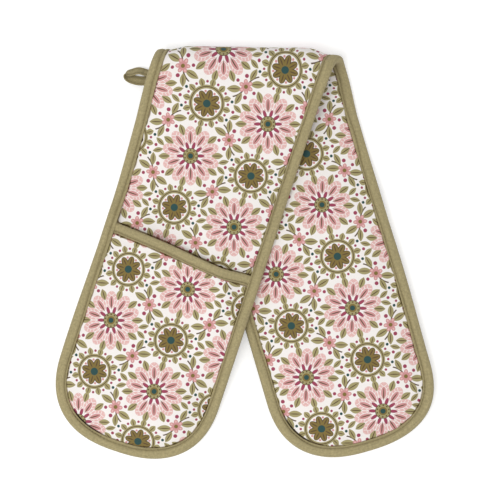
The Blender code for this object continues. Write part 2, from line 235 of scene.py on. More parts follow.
def smooth(value):
    """An even rise from 0 to 1."""
    value = min(max(value, 0.0), 1.0)
    return value * value * (3 - 2 * value)


def mix(low, high, value):
    return low + (high - low) * value


# Where the outer edges swell out or are drawn in: the arm, the edge's side, the distance past the fold, the
# stretch to either side, and how far
EDGE_SWELLS = (
    (UPPER, -1, 0.190, 0.130, -0.0019),
    (UPPER, -1, 0.355, 0.090, -0.0011),
    (UPPER, -1, 0.024, 0.062, 0.0028),
    (LOWER, 1, 0.022, 0.050, 0.0038),
    (LOWER, 1, 0.235, 0.090, 0.0012),
    (LOWER, 1, 0.385, 0.075, 0.0030),
)

# How far the cloth keeps off the floor
FLOOR_CLEARANCE = 0.1 * MILLIMETRE

# How far past its own outline the upper arm still presses on the lower one
PRESS_REACH = 12 * MILLIMETRE

# Radians to either side of the fold's crest in which its lag sets in
CREST_SOFTNESS = 0.1


class Lie:
    """The strip's outline and plies on the flat, and the way the folded strip lies."""

    def __init__(self, scene):
        strip, pocket = scene.glove_strip, scene.glove_pocket
        binding, lie = scene.glove_binding, scene.glove_lie
        self.strip, self.pocket, self.binding, self.lie = strip, pocket, binding, lie
        self.wall = binding.thick + strip.ply_gap
        self.flange = binding.wide - self.wall
        self.mouth_flange = binding.mouth_wide - self.wall
        self.half_wide = strip.wide / 2
        self.inner_half = strip.wide / 2 - binding.wide
        self.inner_tip = strip.tip - binding.wide
        self.tip_start = strip.long / 2 - strip.tip
        self.end = self.tip_start + self.inner_tip
        self.mouth = strip.long / 2 - pocket.depth + self.wall
        self.belly = self.mouth + self.mouth_flange + pocket.belly * pocket.depth
        self.panel_half = strip.wadding / 2 + strip.ply_gap + strip.cover
        self.panel_half_at_seam = strip.wadding_at_seam / 2 + strip.ply_gap + strip.cover
        self.hinge_height = FOLD_PLACE.z
        self.radius = FOLD_PLACE.z - self.panel_half
        self.bend = self.radius * math.pi / 2
        self.fold_y = FOLD_PLACE.y - self.radius - self.panel_half - lie.hinge_clearance
        self.fold_x = FOLD_PLACE.x
        self.sin, self.cos = math.sin(lie.tilt), math.cos(lie.tilt)
        self.power = strip.tip_squareness
        mouth_top = self.pocket_levels(LOWER, self.mouth, 0.0)["cover"][1] + self.wall
        belly_top = self.pocket_levels(LOWER, self.belly, 0.0)["cover"][1]
        self.pocket_climb = max(mouth_top, belly_top) - self.panel_half

    def slope(self, row):
        """How far a row of the net runs off square: like the fold, then the mouth, and square at the tip."""
        flat_start = (self.bend + self.lie.split) / self.cos
        ramp_start = self.mouth - self.pocket.mouth_ramp - math.copysign(self.lie.offset, row)
        turned = min(max((abs(row - self.lie.offset) - flat_start) / (ramp_start - flat_start), 0.0), 1.0)
        squared = min(max((abs(row) - self.belly) / (self.tip_start - self.belly), 0.0), 1.0)
        return mix(math.tan(self.lie.tilt), -math.tan(self.pocket.skew), turned) * (1 - squared)

    def net(self, column, row):
        """A knot of the flat net: its place, and the way out to the strip's edge.

        `column` runs from -1 to 1 between the side seams, and `row` is the distance from the strip's middle
        along its middle line, up to the seam at the tip, with the arm's sign.
        """
        side = -1 if row < 0 else 1
        reach = abs(row)
        if reach <= self.tip_start:
            slope = self.slope(row)
            across = column * self.inner_half
            outward = math.copysign(1.0, column)
            return Vector((across, side * reach + slope * across)), Vector((outward, slope * outward))
        up = min((reach - self.tip_start) / self.inner_tip, 1.0)
        x = column * math.sqrt(1 - up * up / 2)
        y = up * math.sqrt(1 - column * column / 2)
        rounding = (abs(x) ** self.power + y**self.power) ** (1 / self.power)
        stretch = math.hypot(x, y) / rounding
        x, y = x * stretch, y * stretch
        normal = Vector(
            (
                math.copysign(abs(x) ** (self.power - 1), x) / self.inner_half,
                side * y ** (self.power - 1) / self.inner_tip,
            )
        ).normalized()
        return Vector((x * self.inner_half, side * (self.tip_start + y * self.inner_tip))), normal

    def seam_share(self, across, lengthways):
        """0 on the strip's middle line and 1 where the binding's inner edge lies."""
        x = abs(across) / self.inner_half
        y = max(abs(lengthways) - self.tip_start, 0.0) / self.inner_tip
        return min((x**self.power + y**self.power) ** (1 / self.power), 1.0)

    def middle_of(self, across, lengthways):
        """How far along the middle line the row through a point stands, near the pocket's mouth."""
        side = -1 if lengthways < 0 else 1
        return side * (lengthways + math.tan(self.pocket.skew) * across)

    def half_wadding(self, seam):
        swell = smooth((1 - seam) / self.strip.pad_softness)
        return mix(self.strip.wadding_at_seam, self.strip.wadding, swell) / 2

    def panel_face(self, seam):
        return self.half_wadding(seam) + self.strip.ply_gap + self.strip.cover

    def mouth_share(self, middle):
        """1 where the mouth's tape wraps the pocket's plies, and 0 in the belly."""
        tape_end = self.mouth + self.mouth_flange
        return 1 - smooth((middle - tape_end) / (self.belly - tape_end))

    def pocket_levels(self, side, middle, seam):
        """The faces of the pocket's lining, wadding and cover, from the hand room outwards."""
        pocket, strip = self.pocket, self.strip
        at_mouth = self.mouth_share(middle)
        room = smooth((1 - seam) / pocket.room_softness)
        swell = smooth((1 - seam) / strip.pad_softness) * (1 - at_mouth)
        height = pocket.upper_room if side == UPPER else pocket.lower_room
        start = self.panel_face(seam) + strip.ply_gap + height * room + at_mouth * self.wall
        lining = (start, start + strip.cover)
        thick = mix(pocket.wadding_at_seam, pocket.wadding, swell)
        wadding = (lining[1] + strip.ply_gap, lining[1] + strip.ply_gap + thick)
        cover = wadding[1] + strip.ply_gap
        return {"lining": lining, "wadding": wadding, "cover": (cover, cover + strip.cover)}

    def gape(self, side, across, middle):
        """How far the upper pocket's plies lift off the strip, widest at one place of the mouth."""
        pocket = self.pocket
        if side == LOWER:
            return 0.0
        sideways = smooth(1 - abs(across - pocket.gape_at) / pocket.gape_wide)
        return pocket.gape * sideways * smooth(1 - (middle - self.mouth) / (2 * pocket.gape_wide))

    def mouth_sag(self, side, across):
        """How far the upper pocket's mouth hangs towards the tip, most near its right end."""
        pocket = self.pocket
        if side == LOWER:
            return 0.0
        rise = smooth((across - pocket.sag_from) / (pocket.sag_at - pocket.sag_from))
        back = 1 - smooth((across - pocket.sag_at) / (self.inner_half - pocket.sag_at))
        return pocket.sag_all + pocket.sag * rise * back

    def edge_front(self, side, middle):
        """The outermost ply's face at the edge seam, on the pocket's side."""
        before = self.panel_face(1.0)
        at_mouth = self.pocket_levels(side, self.mouth, 1.0)["cover"][1] + self.wall
        beyond = self.pocket_levels(side, self.belly, 1.0)["cover"][1]
        ramp, lead = self.pocket.mouth_ramp, self.pocket.mouth_lead
        climbed = smooth((middle - self.mouth + ramp) / (ramp - lead))
        return mix(mix(before, at_mouth, climbed), beyond, 1 - self.mouth_share(middle))

    def lower_middle(self, along, seam):
        """The height of the lower arm's middle ply: on the floor, then up on its own pocket."""
        lie, softness = self.lie, self.pocket.room_softness
        climb = smooth((along - (self.mouth - lie.climb_lead - lie.climb)) / lie.climb)
        droop = lie.droop * smooth((seam - (1 - softness)) / softness)
        return self.panel_half + self.pocket_climb * climb * (1 - droop)

    def upper_middle(self, aside, past_fold):
        """The height of the upper arm's middle ply, which falls from the fold and leans on the lower arm."""
        lie = self.lie
        along = aside * self.sin + past_fold * self.cos + lie.offset
        across = aside * self.cos - past_fold * self.sin
        inside = across + self.half_wide
        lower_top = self.lower_middle(along, self.seam_share(across, along))
        lower_top += self.panel_half + lie.arm_clearance
        leaning = smooth((inside + lie.lean) / (lie.lean - lie.lean_margin))
        fall = 1 - smooth((past_fold - self.bend) / lie.fall)
        at_fold = self.hinge_height + self.radius - self.panel_half
        return self.panel_half + mix(lower_top * leaning, at_fold, fall)

    def past_fold(self, across, lengthways):
        """The distance past the fold line, square to it: negative on the upper arm."""
        return (lengthways - self.lie.offset) * self.cos - across * self.sin

    def aside(self, across, lengthways):
        """The distance along the fold line, from where it crosses the strip's middle line."""
        return (lengthways - self.lie.offset) * self.sin + across * self.cos

    def swelled(self, across, past):
        """How far a point lies further right than it would on an arm with straight edges."""
        moved = 0.0
        for arm, edge, place, stretch, amount in EDGE_SWELLS:
            nearness = 1 - abs(arm * past - place) / stretch
            if nearness > 0:
                moved += edge * amount * smooth(edge * across / self.half_wide) * smooth(nearness)
        return moved

    def lay(self, across, lengthways, out):
        """A point of the cloth, laid in its place, and never below the floor."""
        aside = self.aside(across, lengthways)
        past = self.past_fold(across, lengthways)
        x = self.fold_x + aside + self.swelled(across, past)
        end = self.half_wide / self.cos
        hang = self.lie.slack * smooth((aside - end) / self.lie.slack_over + 1)
        hang -= self.lie.crown * (1.5 * smooth((end - abs(aside)) / self.lie.crown_over) - 0.5)
        hang *= 1 - smooth((abs(past) - self.bend) / self.lie.slack_over)
        top = self.fold_y - hang
        if abs(past) < self.bend:
            turn = past / self.radius
            ring = self.radius + out
            lag = max(math.pi / 2 - math.hypot(turn, CREST_SOFTNESS) - math.cos(turn), 0.0)
            x += self.sin * self.radius * lag * aside / self.half_wide
            height = max(self.hinge_height - ring * math.sin(turn), FLOOR_CLEARANCE)
            return Vector((x, top + ring * math.cos(turn), height))
        y = top - (abs(past) - self.bend)
        if past < 0:
            return Vector((x, y, max(self.upper_middle(aside, -past) + out, FLOOR_CLEARANCE)))
        height = self.lower_middle(abs(lengthways), self.seam_share(across, lengthways)) - out
        return Vector((x, y, max(height, FLOOR_CLEARANCE)))

    def under_upper_arm(self, across, lengthways):
        """1 where a point of the lower arm lies under the upper one, and 0 clear of it."""
        past = abs(self.past_fold(across, lengthways))
        inside = self.half_wide - abs(self.aside(across, lengthways) * self.cos + past * self.sin)
        return smooth((inside + PRESS_REACH) / PRESS_REACH)


# Shader nodes


def wired(tree, node, inputs):
    """Sets a node's inputs to values, or links them to sockets."""
    for name, value in inputs.items():
        if isinstance(value, bpy.types.NodeSocket):
            tree.links.new(value, node.inputs[name])
        else:
            node.inputs[name].default_value = value
    return node


def add_node(tree, kind, inputs=None, **settings):
    node = tree.nodes.new(kind)
    for name, value in settings.items():
        setattr(node, name, value)
    return wired(tree, node, inputs or {})


def plain_colour(tree, colour_value):
    socket = add_node(tree, "ShaderNodeRGB").outputs[0]
    socket.default_value = (*colour_value, 1.0)
    return socket


def mixed(tree, under, over, share_of_over, blend="MIX"):
    """One colour over another."""
    inputs = {"Factor": share_of_over, "A": under, "B": over}
    return add_node(tree, "ShaderNodeMix", inputs, data_type="RGBA", blend_type=blend).outputs["Result"]


def cloth_vector(tree, layer="cloth"):
    return add_node(tree, "ShaderNodeUVMap", uv_map=layer).outputs["UV"]


def object_vector(tree):
    return add_node(tree, "ShaderNodeTexCoord").outputs["Object"]


def plan_of(tree, vector):
    """A vector's X and Y, as fields."""
    parts = add_node(tree, "ShaderNodeSeparateXYZ", {"Vector": vector})
    return Field(tree, parts.outputs["X"]), Field(tree, parts.outputs["Y"])


class Field:
    """A number that varies over the cloth, worked out by math nodes."""

    def __init__(self, tree, socket):
        self.tree = tree
        self.socket = socket

    def worked(self, operation, *others, clamp=False):
        node = add_node(self.tree, "ShaderNodeMath", operation=operation, use_clamp=clamp)
        for socket, value in zip(node.inputs, (self, *others)):
            if isinstance(value, Field):
                self.tree.links.new(value.socket, socket)
            else:
                socket.default_value = value
        return Field(self.tree, node.outputs[0])

    def __add__(self, other):
        return self.worked("ADD", other)

    def __sub__(self, other):
        return self.worked("SUBTRACT", other)

    def __mul__(self, other):
        return self.worked("MULTIPLY", other)

    def __abs__(self):
        return self.worked("ABSOLUTE")

    def flipped(self, whole):
        """`whole` less this."""
        return self.worked("MULTIPLY_ADD", -1.0, whole)

    def within(self, edge, softness=0.22):
        """1 where this is below the edge and 0 above it, with a soft print edge between."""
        return self.worked("MULTIPLY_ADD", -1 / softness, 0.5 + edge / softness, clamp=True)


def hypot(x, y):
    return (x * x).worked("ADD", y * y).worked("SQRT")


class Print:
    """Draws motifs in millimetres of cloth, one over another, on a ground colour."""

    def __init__(self, tree, ground):
        self.tree = tree
        self.colour = plain_colour(tree, ground)

    def paint(self, mask, colour):
        self.colour = mixed(self.tree, self.colour, (*colour, 1.0), mask.socket)

    def petals(
        self, place, colour, count, centre, half_long, half_wide, between=False, pointed=False, hatch=None
    ):
        """A ring of petals, round or pointed, on the spokes or between them, whole or as fine lines."""
        radius, turn = place
        step = math.pi / count
        local = (turn + step if between else turn).worked("PINGPONG", step)
        x = radius * local.worked("COSINE") - centre
        y = radius * local.worked("SINE")
        if pointed:
            edge = (y + (x * x) * (half_wide / half_long**2)) - half_wide
        else:
            edge = (hypot(x * (1 / half_long), y * (1 / half_wide)) - 1.0) * half_wide
        mask = edge.within(0.0)
        if hatch:
            pitch, line = hatch
            mask = mask * (x - y * 0.8).worked("PINGPONG", pitch / 2).within(line)
        self.paint(mask, colour)

    def disc(self, place, colour, reach):
        self.paint(place[0].within(reach), colour)

    def ring(self, place, colour, reach, half_wide):
        self.paint(abs(place[0] - reach).within(half_wide), colour)

    def leaf(self, x, y, colour, at, turn, half_long, half_wide):
        """One pointed leaf at a place, turned by an angle."""
        cos, sin = math.cos(turn), math.sin(turn)
        along = (x - at[0]) * cos + (y - at[1]) * sin
        beside = (y - at[1]) * cos - (x - at[0]) * sin
        edge = abs(beside) + (along * along) * (half_wide / half_long**2)
        self.paint(edge.within(half_wide), colour)

    def veined_leaf(self, x, y, colours, at, degrees, leaf, vein):
        for colour, size in ((colours.khaki, leaf), (colours.umber, vein)):
            self.leaf(x, y, colour, at, math.radians(degrees), *size)

    def spot(self, x, y, colour, at, reach):
        self.paint(hypot(x - at[0], y - at[1]).within(reach), colour)


def polar(x, y):
    return hypot(x, y), y.worked("ARCTAN2", x)


def chosen(share_of_second, first, second):
    """The first field or the second one, by a field of 0 and 1."""
    return first + (second - first) * share_of_second


def floral(tree, colours, offset):
    """A half-drop floral: pink rosettes, olive blossoms in leaf wreaths, and sprigs of berries between."""
    wide = colours.repeat_wide / MILLIMETRE
    long = colours.repeat_long / MILLIMETRE
    x, y = plan_of(tree, cloth_vector(tree))
    x = x.worked("MULTIPLY_ADD", 1 / MILLIMETRE, offset[0]).worked("PINGPONG", wide / 2)
    y = y.worked("MULTIPLY_ADD", 1 / MILLIMETRE, offset[1]).worked("PINGPONG", long / 2)
    beyond = (x * (2 / wide) + y * (2 / long)).worked("GREATER_THAN", 1.0)
    x = chosen(beyond, x, x.flipped(wide / 2))
    y = chosen(beyond, y, y.flipped(long / 2))
    high = (y * (wide / long)).worked("GREATER_THAN", x)
    wreath = polar(chosen(high, x.flipped(wide / 2), x), chosen(high, y, y.flipped(long / 2)))
    rosette = polar(x, y)
    cloth = Print(tree, colours.ground)

    cloth.petals(rosette, colours.khaki, 10, 27.4, 6.0, 3.2, between=True, pointed=True)
    cloth.petals(rosette, colours.umber, 10, 27.0, 5.2, 0.5, between=True)
    cloth.petals(rosette, colours.blush, 10, 21.0, 8.9, 5.8)
    cloth.petals(rosette, colours.ground, 10, 21.0, 8.3, 5.1, hatch=(4.0, 0.36))
    cloth.petals(rosette, colours.ground, 10, 19.0, 6.4, 3.2)
    cloth.petals(rosette, colours.rose, 10, 19.0, 6.0, 2.6)
    cloth.petals(rosette, colours.umber, 10, 17.4, 6.0, 0.55)
    cloth.petals(rosette, colours.maroon, 10, 10.4, 4.0, 1.7, between=True)
    cloth.disc(rosette, colours.umber, 7.9)
    cloth.disc(rosette, colours.khaki, 7.2)
    cloth.petals(rosette, colours.umber, 10, 6.0, 0.8, 0.8)
    cloth.disc(rosette, colours.olive, 4.2)
    cloth.disc(rosette, colours.bottle, 2.6)

    cloth.ring(wreath, colours.khaki, 16.2, 1.8)
    cloth.ring(wreath, colours.umber, 16.2, 0.45)
    cloth.petals(wreath, colours.khaki, 12, 20.6, 4.2, 3.0, pointed=True)
    cloth.petals(wreath, colours.umber, 12, 20.0, 3.2, 0.42)
    cloth.petals(wreath, colours.maroon, 12, 21.2, 1.3, 1.3, between=True)
    cloth.petals(wreath, colours.umber, 8, 8.0, 5.7, 3.5)
    cloth.petals(wreath, colours.olive, 8, 8.0, 5.1, 2.7)
    cloth.petals(wreath, colours.umber, 8, 8.4, 3.6, 0.6)
    cloth.petals(wreath, colours.rose, 8, 12.0, 1.2, 1.2, between=True)
    cloth.disc(wreath, colours.bottle, 3.8)

    diagonal = math.atan2(long, wide)
    cos, sin = math.cos(diagonal), math.sin(diagonal)
    from_middle_x, from_middle_y = x - wide / 4, y - long / 4
    to_wreath = from_middle_y * cos - from_middle_x * sin
    to_rosette = from_middle_x * cos + from_middle_y * sin
    beside = abs(to_wreath)
    facing = to_rosette * to_wreath.worked("SIGN")
    bow = (to_wreath * 0.17).worked("SINE") * 2.2
    stem = abs(to_rosette - bow) + beside.within(16.5, 0.5).flipped(1.0) * 9.0
    cloth.paint(stem.within(0.7), colours.umber)
    cloth.veined_leaf(beside, facing, colours, (11.0, -4.6), -34, (7.6, 3.5), (6.4, 0.5))
    cloth.veined_leaf(beside, facing, colours, (12.6, 5.6), 26, (6.6, 3.0), (5.4, 0.5))
    cloth.spot(beside, facing, colours.maroon, (6.2, 8.2), 2.0)
    cloth.spot(beside, facing, colours.maroon, (3.6, -9.6), 1.7)
    blossom = polar(to_wreath, to_rosette)
    cloth.petals(blossom, colours.rose, 6, 4.3, 3.0, 2.1)
    cloth.petals(blossom, colours.blush, 6, 5.2, 1.2, 0.9)
    cloth.disc(blossom, colours.olive, 2.0)
    cloth.veined_leaf(x, y, colours, (wide * 0.262, 4.4), 28, (5.6, 2.5), (4.6, 0.45))
    cloth.spot(x, y, colours.maroon, (wide * 0.288, 0.0), 1.6)
    cloth.spot(x, y, colours.bottle, (wide * 0.318, 9.4), 1.5)
    return cloth.colour


# Finishes

# Most of a noise texture's values lie in this range
NOISE_SPREAD = (0.3, 0.7)

# Places near the tips where painted shadow stands for a dark gap between the cotton and the tape, and how far
# along the seam it reaches
PAINTED_GAP_SHADOWS = ((-0.1621, -0.1798), (0.0531, -0.1803))
PAINTED_GAP_REACH = 0.024
# The tint of that painted gap shadow
SHADE = (0.16, 0.14, 0.11)

WHITE_SHEEN = (1.0, 1.0, 1.0)
WARM_SHEEN = (1.0, 0.97, 0.88)


def cloth_material(name, roughness, sheen, sheen_tint):
    """A matt cloth on a Principled shader, with its node tree to add to."""
    material = bpy.data.materials.new(name)
    material.use_nodes = True
    tree = material.node_tree
    inputs = {
        "Roughness": roughness,
        "Specular IOR Level": 0.25,
        "Sheen Weight": sheen,
        "Sheen Roughness": 0.5,
        "Sheen Tint": (*sheen_tint, 1.0),
    }
    return material, tree, wired(tree, tree.nodes["Principled BSDF"], inputs)


def noise_node(tree, vector, scale, detail=3.0, roughness=0.5, stretch=None):
    if stretch:
        vector = add_node(tree, "ShaderNodeMapping", {"Scale": stretch, "Vector": vector}).outputs["Vector"]
    inputs = {"Scale": scale, "Detail": detail, "Roughness": roughness, "Vector": vector}
    return add_node(tree, "ShaderNodeTexNoise", inputs).outputs["Fac"]


def woven(tree, vector, thread, turn=0.0):
    """The height of a plain weave: warp and weft that pass over each other in turn."""
    inputs = {"Rotation": (0.0, 0.0, turn), "Scale": (1 / thread, 1 / thread, 1 / thread), "Vector": vector}
    x, y = plan_of(tree, add_node(tree, "ShaderNodeMapping", inputs).outputs["Vector"])
    warp = (x * (2 * math.pi)).worked("COSINE") * (y * math.pi).worked("COSINE")
    weft = (y * (2 * math.pi)).worked("COSINE") * (x * math.pi).worked("COSINE")
    return abs(warp).worked("MAXIMUM", abs(weft)).socket


def finish(tree, shader, painted, bumps):
    """Gives a cloth its colour, and bumps in a row: (height field, strength, distance), finest last."""
    inputs = {}
    for height, strength, distance in bumps:
        inputs.update({"Height": height, "Strength": strength, "Distance": distance})
        inputs["Normal"] = add_node(tree, "ShaderNodeBump", inputs).outputs["Normal"]
    wired(tree, shader, {"Base Color": painted, "Normal": inputs["Normal"]})


def shaded(tree, painted, fac, low, high, spread=(0.0, 1.0)):
    """The colour, made a little darker or paler by a field that runs over a spread of values."""
    inputs = {"Value": fac, "From Min": spread[0], "From Max": spread[1], "To Min": low, "To Max": high}
    scale = add_node(tree, "ShaderNodeMapRange", inputs).outputs["Result"]
    return mixed(tree, painted, scale, 1.0, "MULTIPLY")


def painted_seam_shade(tree, painted, tint, reach, softness, darkness, wander=0.0):
    """Paints shade on cloth near its seam, a millimetre or so: the contact shadow where it is drawn down into
    the stitches.
    """
    inward = plan_of(tree, cloth_vector(tree, "border"))[0] * (1 / MILLIMETRE)
    if wander:
        inward = inward + (Field(tree, noise_node(tree, cloth_vector(tree), 75.0, 2.0)) - 0.5) * wander
    line = inward.within(reach, softness) * darkness
    return mixed(tree, painted, (*tint, 1.0), line.socket, "MULTIPLY")


def near(tree, place):
    """1 close to a place on the plan, and 0 a gap's reach away: the mask of a painted gap shadow."""
    x, y = plan_of(tree, object_vector(tree))
    return hypot(x - place[0], y - place[1]).within(PAINTED_GAP_REACH * 0.8, PAINTED_GAP_REACH * 0.4)


def printed_cotton(name, colours, offset):
    material, tree, shader = cloth_material(name, 0.86, 0.08, WHITE_SHEEN)
    vector = cloth_vector(tree)
    threads = woven(tree, vector, 0.9 * MILLIMETRE)
    slubs = noise_node(tree, vector, 900.0, 4.0, 0.6)
    creases = noise_node(tree, vector, 42.0, 3.0, 0.55)
    # Painted contact shadow: a thin olive line where the cotton meets the tape's inner edge and the pocket's
    # mouth tape
    painted = painted_seam_shade(tree, floral(tree, colours, offset), colours.olive, 1.1, 0.7, 0.9, 3.0)
    # Painted shadow for a dark gap between the cotton and the tape near each tip
    for gap in PAINTED_GAP_SHADOWS:
        painted = painted_seam_shade(tree, painted, SHADE, 1.7, 0.6, near(tree, gap))
    painted = shaded(tree, painted, threads, 0.955, 1.02)
    painted = shaded(tree, painted, slubs, 0.93, 1.06)
    finish(tree, shader, painted, [(creases, 0.30, 0.0016), (threads, 0.22, 0.0003)])
    return material


def plain_cloth(name, colour_value, thread, turn):
    material, tree, shader = cloth_material(name, 0.88, 0.12, WARM_SHEEN)
    vector = cloth_vector(tree)
    threads = woven(tree, vector, thread, turn)
    slubs = noise_node(tree, vector, 430.0, 5.0, 0.65)
    streaks = noise_node(tree, vector, 70.0, 4.0, 0.65, (9.0, 0.7, 1.0))
    # Painted shade in the stitch groove: a broad soft band and a narrow dark core, and along the lining's
    # seams the same painted shade
    toned = painted_seam_shade(tree, plain_colour(tree, colour_value), (0.80, 0.79, 0.76), 1.6, 2.4, 1.0)
    toned = painted_seam_shade(tree, toned, (0.78, 0.76, 0.72), 0.5, 0.5, 1.0)
    # Painted shadow for a dark gap between the cotton and the tape near each tip
    for gap in PAINTED_GAP_SHADOWS:
        toned = painted_seam_shade(tree, toned, (0.62, 0.60, 0.52), 0.7, 0.6, near(tree, gap))
    toned = shaded(tree, toned, threads, 0.84, 1.10)
    toned = shaded(tree, toned, slubs, 0.78, 1.20, NOISE_SPREAD)
    toned = shaded(tree, toned, streaks, 0.88, 1.11, NOISE_SPREAD)
    finish(tree, shader, toned, [(slubs, 0.25, 0.0006), (threads, 0.45, 0.0003)])
    return material


def fibre(name, colour_value):
    """Needled wadding: short soft fibres lying every way."""
    material, tree, shader = cloth_material(name, 0.95, 0.25, WHITE_SHEEN)
    place = object_vector(tree)
    hairs = noise_node(tree, place, 700.0, 8.0, 0.7, (1.0, 1.0, 4.0))
    tufts = noise_node(tree, place, 120.0, 4.0, 0.6)
    toned = shaded(tree, shaded(tree, plain_colour(tree, colour_value), hairs, 0.8, 1.12), tufts, 0.9, 1.06)
    finish(tree, shader, toned, [(tufts, 0.4, 0.001), (hairs, 0.6, 0.0004)])
    return material


def thread_finish(name, colour_value):
    """Two-ply sewing thread, with its twist."""
    material, tree, shader = cloth_material(name, 0.6, 0.1, WARM_SHEEN)
    twist = noise_node(tree, object_vector(tree), 2400.0, 2.0, 0.5)
    toned = shaded(tree, plain_colour(tree, colour_value), twist, 0.75, 1.15)
    finish(tree, shader, toned, [(twist, 0.5, 0.0002)])
    return material


MATERIALS = {}


def finish_of(kind):
    """The material of a kind of cloth, made when it is first wanted."""
    if kind not in MATERIALS:
        colours, cloths = bpy.context.scene.glove_print, bpy.context.scene.glove_cloths
        makers = {
            "front_print": lambda name: printed_cotton(name, colours, (22.0, 14.0)),
            "back_print": lambda name: printed_cotton(name, colours, (-25.0, 40.0)),
            "pocket_print": lambda name: printed_cotton(name, colours, (47.0, -21.0)),
            "tape": lambda name: plain_cloth(name, cloths.tape, 0.8 * MILLIMETRE, math.radians(45)),
            "lining": lambda name: plain_cloth(name, cloths.lining, 0.9 * MILLIMETRE, 0.0),
            "wadding": lambda name: fibre(name, cloths.wadding),
            "thread": lambda name: thread_finish(name, cloths.thread),
        }
        MATERIALS[kind] = makers[kind](kind)
    return MATERIALS[kind]


# Making cloth

# Knots closer than this are one
MERGE_REACH = 1e-7

# The upper net of a pad is set off by this, while its knots are paired with the lower net's
NET_LIFT = 1.0

# How long the cloth simulation runs
CLOTH_FRAMES = 20

# Gathers along a seam: the seam share they begin at and rise over, and their pitch
PUCKER_FROM, PUCKER_RISE, PUCKER_PITCH = 0.72, 0.2, 0.0085

# Unevenness of soft padding: the size of the broad waves and of the fine ones, and the fine ones' share
BROAD_WAVES, FINE_WAVES, FINE_SHARE = (0.038, 0.046), (0.017, 0.021), 0.45


def even(low, high, steps):
    return [mix(low, high, step / steps) for step in range(steps + 1)]


# Columns of every net, from one side seam to the other
COLUMNS = even(-1.0, 1.0, 30)


def grid(across, along):
    """A net of so many knots by so many, which stand in rows."""
    shape = bmesh.new()
    bmesh.ops.create_grid(shape, x_segments=across - 1, y_segments=along - 1, size=1.0)
    shape.verts.ensure_lookup_table()
    return shape


def flat_net(lie, rows, level):
    """A net of cloth on the flat, with a knot for each column and signed row, at a level of its own."""
    shape = grid(len(COLUMNS), len(rows))
    for index, knot in enumerate(shape.verts):
        row, column = divmod(index, len(COLUMNS))
        place, _ = lie.net(COLUMNS[column], rows[row])
        knot.co = (place.x, place.y, level(place.x, place.y))
    return shape


def simulate(shape, held, pressure):
    """Blow a sewn form up as cloth, with its held knots pinned, and return where its knots end."""
    mesh = bpy.data.meshes.new("sewing")
    shape.to_mesh(mesh)
    piece = bpy.data.objects.new("sewing", mesh)
    bpy.context.scene.collection.objects.link(piece)
    seam = piece.vertex_groups.new(name="seam")
    seam.add(held, 1.0, "ADD")
    cloth = piece.modifiers.new("cloth", "CLOTH")
    settings = cloth.settings
    settings.quality = 6
    settings.mass = 0.2
    settings.tension_stiffness = 25
    settings.compression_stiffness = 12
    settings.shear_stiffness = 6
    settings.bending_stiffness = 0.6
    settings.use_pressure = True
    settings.uniform_pressure_force = pressure
    settings.shrink_min = -0.012
    settings.shrink_max = -0.012
    settings.vertex_group_mass = "seam"
    settings.effector_weights.gravity = 0.0
    cloth.collision_settings.use_collision = False
    scene = bpy.context.scene
    for frame_number in range(1, CLOTH_FRAMES + 1):
        scene.frame_set(frame_number)
    evaluated = piece.evaluated_get(bpy.context.evaluated_depsgraph_get())
    places = [knot.co.copy() for knot in evaluated.data.vertices]
    bpy.data.objects.remove(piece, do_unlink=True)
    bpy.data.meshes.remove(mesh)
    scene.frame_set(1)
    return places


def swollen(lie, rows, low_level, high_level, pinned, cap, pressure):
    """The lower and upper nets of a sewn pad, after the cloth has swelled: two lists of knots."""
    low, high = (flat_net(lie, rows, level) for level in (low_level, high_level))
    low_places, high_places = ([knot.co.copy() for knot in net.verts] for net in (low, high))
    high.free()
    for item in bmesh.ops.extrude_face_region(low, geom=low.faces[:])["geom"]:
        if isinstance(item, bmesh.types.BMVert):
            item.co.z += NET_LIFT
    low.verts.index_update()
    bmesh.ops.recalc_face_normals(low, faces=low.faces[:])

    def plan(knot):
        return round(knot.co.x, 6), round(knot.co.y, 6)

    below = {plan(knot): knot.index for knot in low.verts if knot.co.z < NET_LIFT / 2}
    pairs = {below[plan(knot)]: knot for knot in low.verts if knot.co.z >= NET_LIFT / 2}
    order = sorted(pairs)
    for place, index in enumerate(order):
        pairs[index].co = high_places[place]
    held = [index for place, index in enumerate(order) if pinned(place)]
    held += [pairs[index].index for index in held]
    ends = simulate(low, held, pressure)
    moved = ([], [])
    for place, index in enumerate(order):
        knots = ((low_places[place], ends[index]), (high_places[place], ends[pairs[index].index]))
        for face, (start, end) in enumerate(knots):
            shift = end - start
            limit = cap(face, start.x, start.y)
            if shift.length > limit:
                shift *= limit / shift.length
            moved[face].append(start + shift)
    low.free()
    return moved


def edge_pucker(lie, place, depth):
    """Small gathers that run square to the seam and die out in the pad."""
    nearness = smooth((lie.seam_share(place.x, place.y) - PUCKER_FROM) / PUCKER_RISE)
    if not nearness:
        return 0.0
    run = place.y
    if abs(place.y) > lie.tip_start:
        run = math.atan2(abs(place.y) - lie.tip_start, place.x) * lie.inner_half + place.y
    wave = noise.noise(Vector((run / PUCKER_PITCH, math.copysign(3.7, place.x), 0.5)))
    return depth * nearness * wave


def soft_waves(place, depth, seed):
    """Broad unevenness of soft padding."""
    broad = noise.noise(Vector((place.x / BROAD_WAVES[0], place.y / BROAD_WAVES[1], seed)))
    fine = noise.noise(Vector((place.x / FINE_WAVES[0], place.y / FINE_WAVES[1], seed + 7.0)))
    return depth * (broad + FINE_SHARE * fine)


